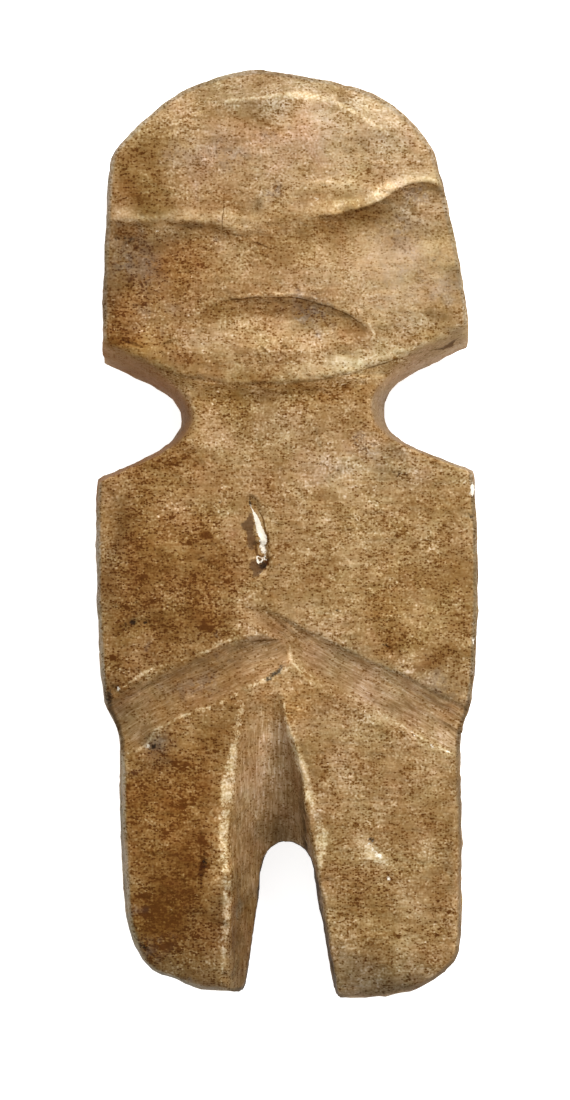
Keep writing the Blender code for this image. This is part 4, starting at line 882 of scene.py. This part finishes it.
# Grime, with the painted light of the mouth, the right brow lip and the area under the chin added in.
grime_and_painted_light = 0.13 + at["grime_and_painted_light"] * (1 - wall) + 0.05 * at["ledge"] + 0.14 * at["rubbed"] + 0.60 * at["chin_under"]
grime_and_painted_light = toward(grime_and_painted_light, 0.02 + 0.6 * at["grime_and_painted_light"], cuts)
slot_side = cuts * left * (1 - at["hip"]) * smoothstep(-76.0, -84.0, p[:, 1])
film_and_painted_shade = film_and_painted_shade + 0.38 * slot_side
grime_and_painted_light = grime_and_painted_light - 0.27 * slot_side
# Painted light on the upper walls of the hip grooves, which face away from the light, more of it in the right groove.
upper_wall = at["hip"] * smoothstep(-0.5, 1.5, at["groove_v"])
grime_and_painted_light = grime_and_painted_light + upper_wall * np.where(p[:, 0] > 0, 0.35, 0.12)
# The slot walls are darker, more on the left. The notch walls get painted shade, deeper on the left, away from the
# light, and only a little on the underside of the jaw.
jaw_wall = smoothstep(0.3, 0.75, steer_p)
grime_and_painted_light = grime_and_painted_light - (1.05 + 0.25 * left - 0.45 * smoothstep(3.0, 10.0, beneath)) * in_slot - ((0.56 - 0.28 * left) * (1 - jaw_wall) + 0.06 * jaw_wall) * in_notch
grime_and_painted_light = grime_and_painted_light - 0.15 * throat_band
grime_and_painted_light = grime_and_painted_light + 0.20 * smoothstep(44.0, 48.0, p[:, 1]) * at["worn_of"] * np.exp(-at["worn_at"] ** 2) * on_front
# The outer walls are darker, and darker still on the left, where this is painted shade on the side away from the light;
# the lower walls and the border of the front are darker too.
grime_and_painted_light = grime_and_painted_light - (0.80 + 0.40 * left + 0.3 * left * smoothstep(-45.0, -60.0, p[:, 1])) * (outer - low_wall) * (1 - back)
grime_and_painted_light = grime_and_painted_light - (0.22 + 0.12 * left) * low_wall
grime_and_painted_light = grime_and_painted_light - (0.85 - 0.35 * head + 0.1 * wide) * border * on_front
calm = np.clip(1.0 - 0.6 * at["calm"] + 0.6 * np.maximum(film_and_painted_shade - 1.1, 0), 0.35, 1.7)
calm = calm * (1 - 0.4 * at["ledge"])
calm = toward(calm, 0.80, cuts)
calm = toward(calm, 0.45, wall)
calm = toward(calm, 0.85, np.maximum(low_wall, smoothstep(8.0, 16.0, beneath)))
calm = toward(calm, 0.8, back)
worn = np.maximum(0.30 * at["arris"] * on_front, 0.30 * rim)
records = {
    "film_and_painted_shade": film_and_painted_shade, "grime_and_painted_light": grime_and_painted_light, "texture": calm, "worn": worn, "cuts": cuts, "wall": wall,
    "hip": at["hip"] * (1 - wall), "bluish": at["bluish"] * on_front, "soot": at["soot"] * on_front,
    "white": at["white"] * np.maximum(on_front, 0.5 * wall), "hollow": at["hollow"] * on_front,
    "groove_u": at["groove_u"], "groove_v": at["groove_v"], "red": at["red"] - 0.003 * (1 - cuts) * (1 - wall) - 0.03 * at["ledge"]
    + (0.03 + 0.07 * left) * (1 - 0.75 * deep) * in_notch + 0.02 * cuts,
    "worn_at": at["worn_at"], "worn_of": at["worn_of"] * on_front,
    "crease_at": at["crease_at"], "crease_of": at["crease_of"] * np.maximum(on_front, 0.9 * in_notch),
    "white_at": at["white_at"], "white_of": at["white_of"] * on_front,
}
for name, values in records.items():
    attribute = mesh.attributes.new(name, 'FLOAT', 'POINT')
    attribute.data.foreach_set("value", np.ascontiguousarray(values, np.float32))

# ------------------------------------------------------------------- material
# Clean stone, and how the brown film darkens each channel per unit of thickness
CLEAN = (0.430, 0.325, 0.215)
ABSORB = (0.75, 1.00, 1.50)
SOOT = (0.010, 0.005, 0.002)
HOLLOW_BROWN = (0.072, 0.034, 0.013)
WHITE = (0.740, 0.680, 0.570)


class Graph:
    """Short names for the shader nodes used here."""

    def __init__(self, tree):
        self.tree = tree

    def node(self, kind, inputs=(), **settings):
        n = self.tree.nodes.new(kind)
        for key, value in settings.items():
            setattr(n, key, value)
        for key, value in dict(inputs).items():
            if isinstance(value, bpy.types.NodeSocket):
                self.tree.links.new(value, n.inputs[key])
            else:
                n.inputs[key].default_value = value
        return n

    def attribute(self, name):
        return self.node('ShaderNodeAttribute', attribute_name=name, attribute_type='GEOMETRY').outputs['Fac']

    def math(self, operation, a, b=0.0, clamp=False):
        return self.node('ShaderNodeMath', {0: a, 1: b}, operation=operation, use_clamp=clamp).outputs[0]

    def mul(self, *values):
        out = values[0]
        for v in values[1:]:
            out = self.math('MULTIPLY', out, v)
        return out

    def add(self, *values):
        out = values[0]
        for v in values[1:]:
            out = self.math('ADD', out, v)
        return out

    def scaled(self, vector, x, y, z):
        return self.node('ShaderNodeVectorMath', {0: vector, 1: (x, y, z)}, operation='MULTIPLY').outputs[0]

    def noise(self, vector, scale, detail=2.0, rough=0.5, warp=0.0):
        """Fractal noise about zero."""
        fac = self.node('ShaderNodeTexNoise', {'Vector': vector, 'Scale': scale, 'Detail': detail,
                                               'Roughness': rough, 'Distortion': warp},
                        noise_dimensions='3D').outputs['Fac']
        return self.math('SUBTRACT', fac, 0.5)

    def specks(self, vector, scale, share, drive, radius, bend=0.5):
        """Separate ragged spots of differing size; share of the cells that hold one, plus drive."""
        push = self.node('ShaderNodeTexNoise', {'Vector': vector, 'Scale': 2.4 * scale, 'Detail': 1.0},
                         noise_dimensions='3D').outputs['Color']
        push = self.node('ShaderNodeVectorMath', {0: push, 1: (-0.5, -0.5, -0.5)}, operation='ADD').outputs[0]
        moved = self.node('ShaderNodeVectorMath', {0: self.scaled(push, *([bend / scale] * 3)), 1: vector},
                          operation='ADD').outputs[0]
        cell = self.node('ShaderNodeTexVoronoi', {'Vector': moved, 'Scale': scale}, voronoi_dimensions='3D')
        draw = self.node('ShaderNodeSeparateColor', {0: cell.outputs['Color']}).outputs[0]
        size = self.step(self.add(draw, share - 1.0, drive), 0.0, 0.22, 0.0, radius)
        return self.step(self.math('SUBTRACT', size, cell.outputs['Distance']), 0.0, 0.30)

    def step(self, value, lo, hi, out_lo=0.0, out_hi=1.0):
        return self.node('ShaderNodeMapRange', {'Value': value, 'From Min': lo, 'From Max': hi,
                                                'To Min': out_lo, 'To Max': out_hi},
                         interpolation_type='SMOOTHSTEP', clamp=True).outputs['Result']

    def mix(self, share, a, b, blend='MIX'):
        n = self.tree.nodes.new('ShaderNodeMix')
        n.data_type = 'RGBA'
        n.blend_type = blend
        n.clamp_factor = True
        for index, value in ((0, share), (6, a), (7, b)):
            if isinstance(value, bpy.types.NodeSocket):
                self.tree.links.new(value, n.inputs[index])
            elif index == 0:
                n.inputs[0].default_value = value
            else:
                n.inputs[index].default_value = (*value, 1.0)
        return n.outputs[2]


def stone_material():
    mat = bpy.data.materials.new("tan_stone")
    mat.use_nodes = True
    tree = mat.node_tree
    bsdf = tree.nodes["Principled BSDF"]
    g = Graph(tree)
    place = g.node('ShaderNodeTexCoord').outputs['Object']
    mm = g.scaled(place, 1000.0, 1000.0, 1000.0)
    at = {name: g.attribute(name) for name in records}
    cuts, wall = at["cuts"], at["wall"]
    open_face = g.mul(g.math('SUBTRACT', 1.0, cuts), g.math('SUBTRACT', 1.0, wall))

    # Film: soft patches, faint rows and a fine grain
    clouds = g.noise(mm, 0.10, 3.0, 0.7, 0.2)
    rows = g.noise(g.scaled(mm, 0.26, 1.45, 0.6), 1.0, 2.0, 0.8)
    weave = g.noise(g.scaled(mm, 1.6, 0.45, 0.6), 1.0, 1.0, 0.8)
    grain_fine = g.noise(mm, 2.0, 0.0)
    grain_mid = g.noise(mm, 0.8, 2.0, 0.9)
    strokes_hip = g.noise(g.node('ShaderNodeCombineXYZ', {0: g.mul(at["groove_u"], 0.20),
                                                          1: g.mul(at["groove_v"], 1.5)}).outputs[0], 1.0, 2.0, 0.9)
    strokes_channel = g.noise(g.scaled(mm, 1.8, 0.20, 0.2), 1.0, 2.0, 0.9)
    strokes = g.add(g.mul(strokes_hip, at["hip"]), g.mul(strokes_channel, g.math('SUBTRACT', 1.0, at["hip"])))

    # Dark specks in three sizes, gathered in patches, and a few pale grains
    patch = g.noise(mm, 0.17, 4.0, 0.8, 0.4)
    drive = g.add(g.mul(patch, 1.5), g.mul(g.add(at["film_and_painted_shade"], -1.1), 0.07), g.mul(cuts, -0.06), g.mul(wall, -0.08))
    specks = g.specks(g.scaled(mm, 0.75, 1.15, 1.0), 2.3, 0.36, drive, 0.70)
    specks2 = g.specks(g.scaled(mm, 0.75, 1.2, 1.0), 1.35, 0.22, drive, 0.66, 0.8)
    specks3 = g.specks(g.scaled(mm, 0.8, 1.2, 1.0), 0.55, 0.07, drive, 0.56, 1.0)
    blots = g.specks(g.scaled(mm, 0.75, 1.3, 1.0), 0.30, 0.10, g.add(g.mul(patch, 0.6), g.mul(g.add(at["film_and_painted_shade"], -1.2), 0.16),
                                                                   g.mul(cuts, -0.2), g.mul(wall, -0.2)), 0.55, 1.1)
    pale = g.specks(g.node('ShaderNodeVectorMath', {0: mm, 1: (7.3, 3.1, 5.7)}, operation='ADD').outputs[0],
                    1.4, 0.25, g.mul(patch, -0.8), 0.6)

    grain_share = g.mul(g.add(1.0, g.mul(cuts, -0.45)), g.step(g.noise(mm, 0.16, 3.0, 0.8, 0.3), -0.14, 0.14, 0.45, 1.35))
    texture = g.add(g.mul(clouds, 2.2), g.mul(rows, open_face, 1.3), g.mul(weave, open_face, 0.3),
                    g.mul(strokes, cuts, 3.2), g.mul(g.add(g.mul(grain_fine, 1.55), g.mul(grain_mid, 0.85)), grain_share),
                    g.mul(specks, 1.45), g.mul(specks2, 0.85), g.mul(specks3, 1.5), g.mul(blots, 1.0), g.mul(pale, -0.35), -0.17)
    film_and_painted_shade = g.math('MINIMUM', g.add(at["film_and_painted_shade"], g.mul(texture, at["texture"])), 3.6)

    # Worn arrises and chips keep little of it
    wear_noise = g.noise(mm, 0.75, 5.0, 0.8, 0.3)
    worn_line, crease, white_line = (g.mul(at[name + "_of"], g.math('POWER', math.e, g.mul(at[name + "_at"], at[name + "_at"], -1.0)))
                         for name in ("worn", "crease", "white"))
    breaks = g.step(g.noise(mm, 0.42, 4.0, 0.8, 0.3), -0.13, 0.06, 0.25, 1.15)
    worn_line = g.mul(worn_line, breaks)
    wear = g.step(g.add(g.math('MAXIMUM', at["worn"], worn_line), g.mul(wear_noise, 2.6)), 0.22, 1.12)
    film_and_painted_shade = g.add(g.mul(film_and_painted_shade, g.math('SUBTRACT', 1.0, g.mul(wear, 0.84))), g.mul(wear, g.add(0.06, g.mul(grain_fine, 1.1),
                                                                                             g.mul(grain_mid, 0.7))))
    film_and_painted_shade = g.math('MAXIMUM', film_and_painted_shade, -0.1)
    crease = g.step(g.add(crease, g.mul(wear_noise, 1.8)), 0.24, 0.95)
    film_and_painted_shade = g.add(film_and_painted_shade, g.mul(crease, 1.1))

    # Grime, with the painted light and shade it carries: grey and even
    grime_noise = g.noise(mm, 0.22, 5.0, 0.8, 0.4)
    grime_and_painted_light = g.add(at["grime_and_painted_light"], g.mul(grime_noise, 0.55), g.mul(wear, 0.02), g.mul(crease, -0.35))
    # A thick film keeps more of its warmth than of its depth
    grime_and_painted_light = g.add(grime_and_painted_light, g.mul(g.math('MAXIMUM', g.add(film_and_painted_shade, -1.1), 0.0), 0.25))
    shade = g.math('POWER', math.e, grime_and_painted_light)

    tint = g.add(at["red"], g.mul(g.noise(mm, 0.12, 4.0, 0.7, 0.5), 0.22), g.mul(wear, -0.03))
    channels = {}
    for name, clean, absorb, lean in zip(("Red", "Green", "Blue"), CLEAN, ABSORB, (0.5, -0.75, 0.25)):
        change = g.math('POWER', math.exp(lean), tint)
        channels[name] = g.mul(g.math('POWER', math.exp(-absorb), film_and_painted_shade), shade, change, clean)
    colour = g.node('ShaderNodeCombineColor', channels).outputs[0]

    grey = g.node('ShaderNodeRGBToBW', {0: colour}).outputs[0]
    cool = g.node('ShaderNodeCombineColor', {"Red": g.mul(grey, 1.14), "Green": g.mul(grey, 0.95),
                                             "Blue": g.mul(grey, 0.82)}).outputs[0]
    stain = g.mul(at["bluish"], g.step(g.noise(mm, 0.5, 4.0, 0.8, 0.4), -0.12, 0.06))
    colour = g.mix(g.mul(stain, 0.5), colour, cool)

    hollow = g.step(g.add(at["hollow"], g.mul(wear_noise, 1.8)), 0.28, 0.62)
    colour = g.mix(g.mul(hollow, 0.85), colour, HOLLOW_BROWN)
    soot = g.step(g.add(at["soot"], g.mul(wear_noise, 2.0)), 0.36, 0.72)
    colour = g.mix(g.mul(soot, 0.88), colour, SOOT)
    white = g.step(g.add(g.math('MAXIMUM', at["white"], white_line), g.mul(wear_noise, 1.9)), 0.36, 0.62)
    colour = g.mix(g.mul(white, 0.9), colour, WHITE)
    tree.links.new(colour, bsdf.inputs['Base Color'])

    # Matt, a little smoother where it is worn and in the cuts
    rough = g.add(0.68, g.mul(specks, 0.12), g.mul(wear, -0.08), g.mul(cuts, -0.06), g.mul(clouds, 0.2))
    tree.links.new(rough, bsdf.inputs['Roughness'])
    bsdf.inputs['Specular IOR Level'].default_value = 0.06
    bsdf.inputs['Metallic'].default_value = 0.0

    # Fine relief below the size of the mesh
    height = g.add(g.mul(grain_fine, 0.6), g.mul(grain_mid, 0.8), g.mul(specks, -0.30), g.mul(specks2, -0.30),
                   g.mul(strokes, cuts, 1.0), g.mul(rows, open_face, 1.2), g.mul(white, 0.2),
                   g.mul(crease, -1.2))
    bump = g.node('ShaderNodeBump', {'Strength': 0.55, 'Distance': 0.00012, 'Height': height})
    tree.links.new(bump.outputs['Normal'], bsdf.inputs['Normal'])
    return mat


mesh.materials.clear()
mesh.materials.append(stone_material())
mesh.polygons.foreach_set("material_index", np.zeros(len(mesh.polygons), np.int32))

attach(stone, "root")
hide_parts("figurine")

# ---------------------------------------------------------------------- stage
scene = bpy.context.scene
scene.view_settings.view_transform = 'Standard'

floor_mesh = bpy.data.meshes.new("floor")
floor_mesh.from_pydata([(-4, -4, -0.00005), (4, -4, -0.00005), (4, 4, -0.00005), (-4, 4, -0.00005)], [], [(0, 1, 2, 3)])
floor = bpy.data.objects.new("floor", floor_mesh)
scene.collection.objects.link(floor)
floor_mat = bpy.data.materials.new("floor")
floor_mat.use_nodes = True
shader = floor_mat.node_tree.nodes["Principled BSDF"]
shader.inputs['Base Color'].default_value = (0.86, 0.86, 0.86, 1.0)
shader.inputs['Roughness'].default_value = 0.9
shader.inputs['Specular IOR Level'].default_value = 0.0
shader.inputs['Emission Color'].default_value = (1.0, 1.0, 1.0, 1.0)
shader.inputs['Emission Strength'].default_value = 0.76
floor_mesh.materials.append(floor_mat)

world = bpy.data.worlds.new("studio")
scene.world = world
world.use_nodes = True
world.node_tree.nodes["Background"].inputs['Color'].default_value = (1.0, 1.0, 1.0, 1.0)
world.node_tree.nodes["Background"].inputs['Strength'].default_value = 0.85


def softbox(name, place, size, power, aim=(0.0, 0.0, 0.02)):
    light = bpy.data.lights.new(name, 'AREA')
    light.shape = 'DISK'
    light.size = size
    light.energy = power
    obj = bpy.data.objects.new(name, light)
    obj.location = place
    obj.rotation_euler = (Vector(aim) - Vector(place)).to_track_quat('-Z', 'Y').to_euler()
    scene.collection.objects.link(obj)
    return obj


softbox("key", (0.52, 0.86, 0.92), 0.66, 24.0)

camera = bpy.data.cameras.new("camera")
camera.lens = 150.0
camera.sensor_width = 36.0
camera.sensor_fit = 'AUTO'
camera.clip_start = 0.01
camera.clip_end = 20.0
view_height = 0.2511
eye = bpy.data.objects.new("camera", camera)
eye.location = (-0.00034, -0.0035, WAIST * MM + view_height * camera.lens / camera.sensor_width)
eye.rotation_euler = (0.0, 0.0, 0.0)
scene.collection.objects.link(eye)
scene.camera = eye
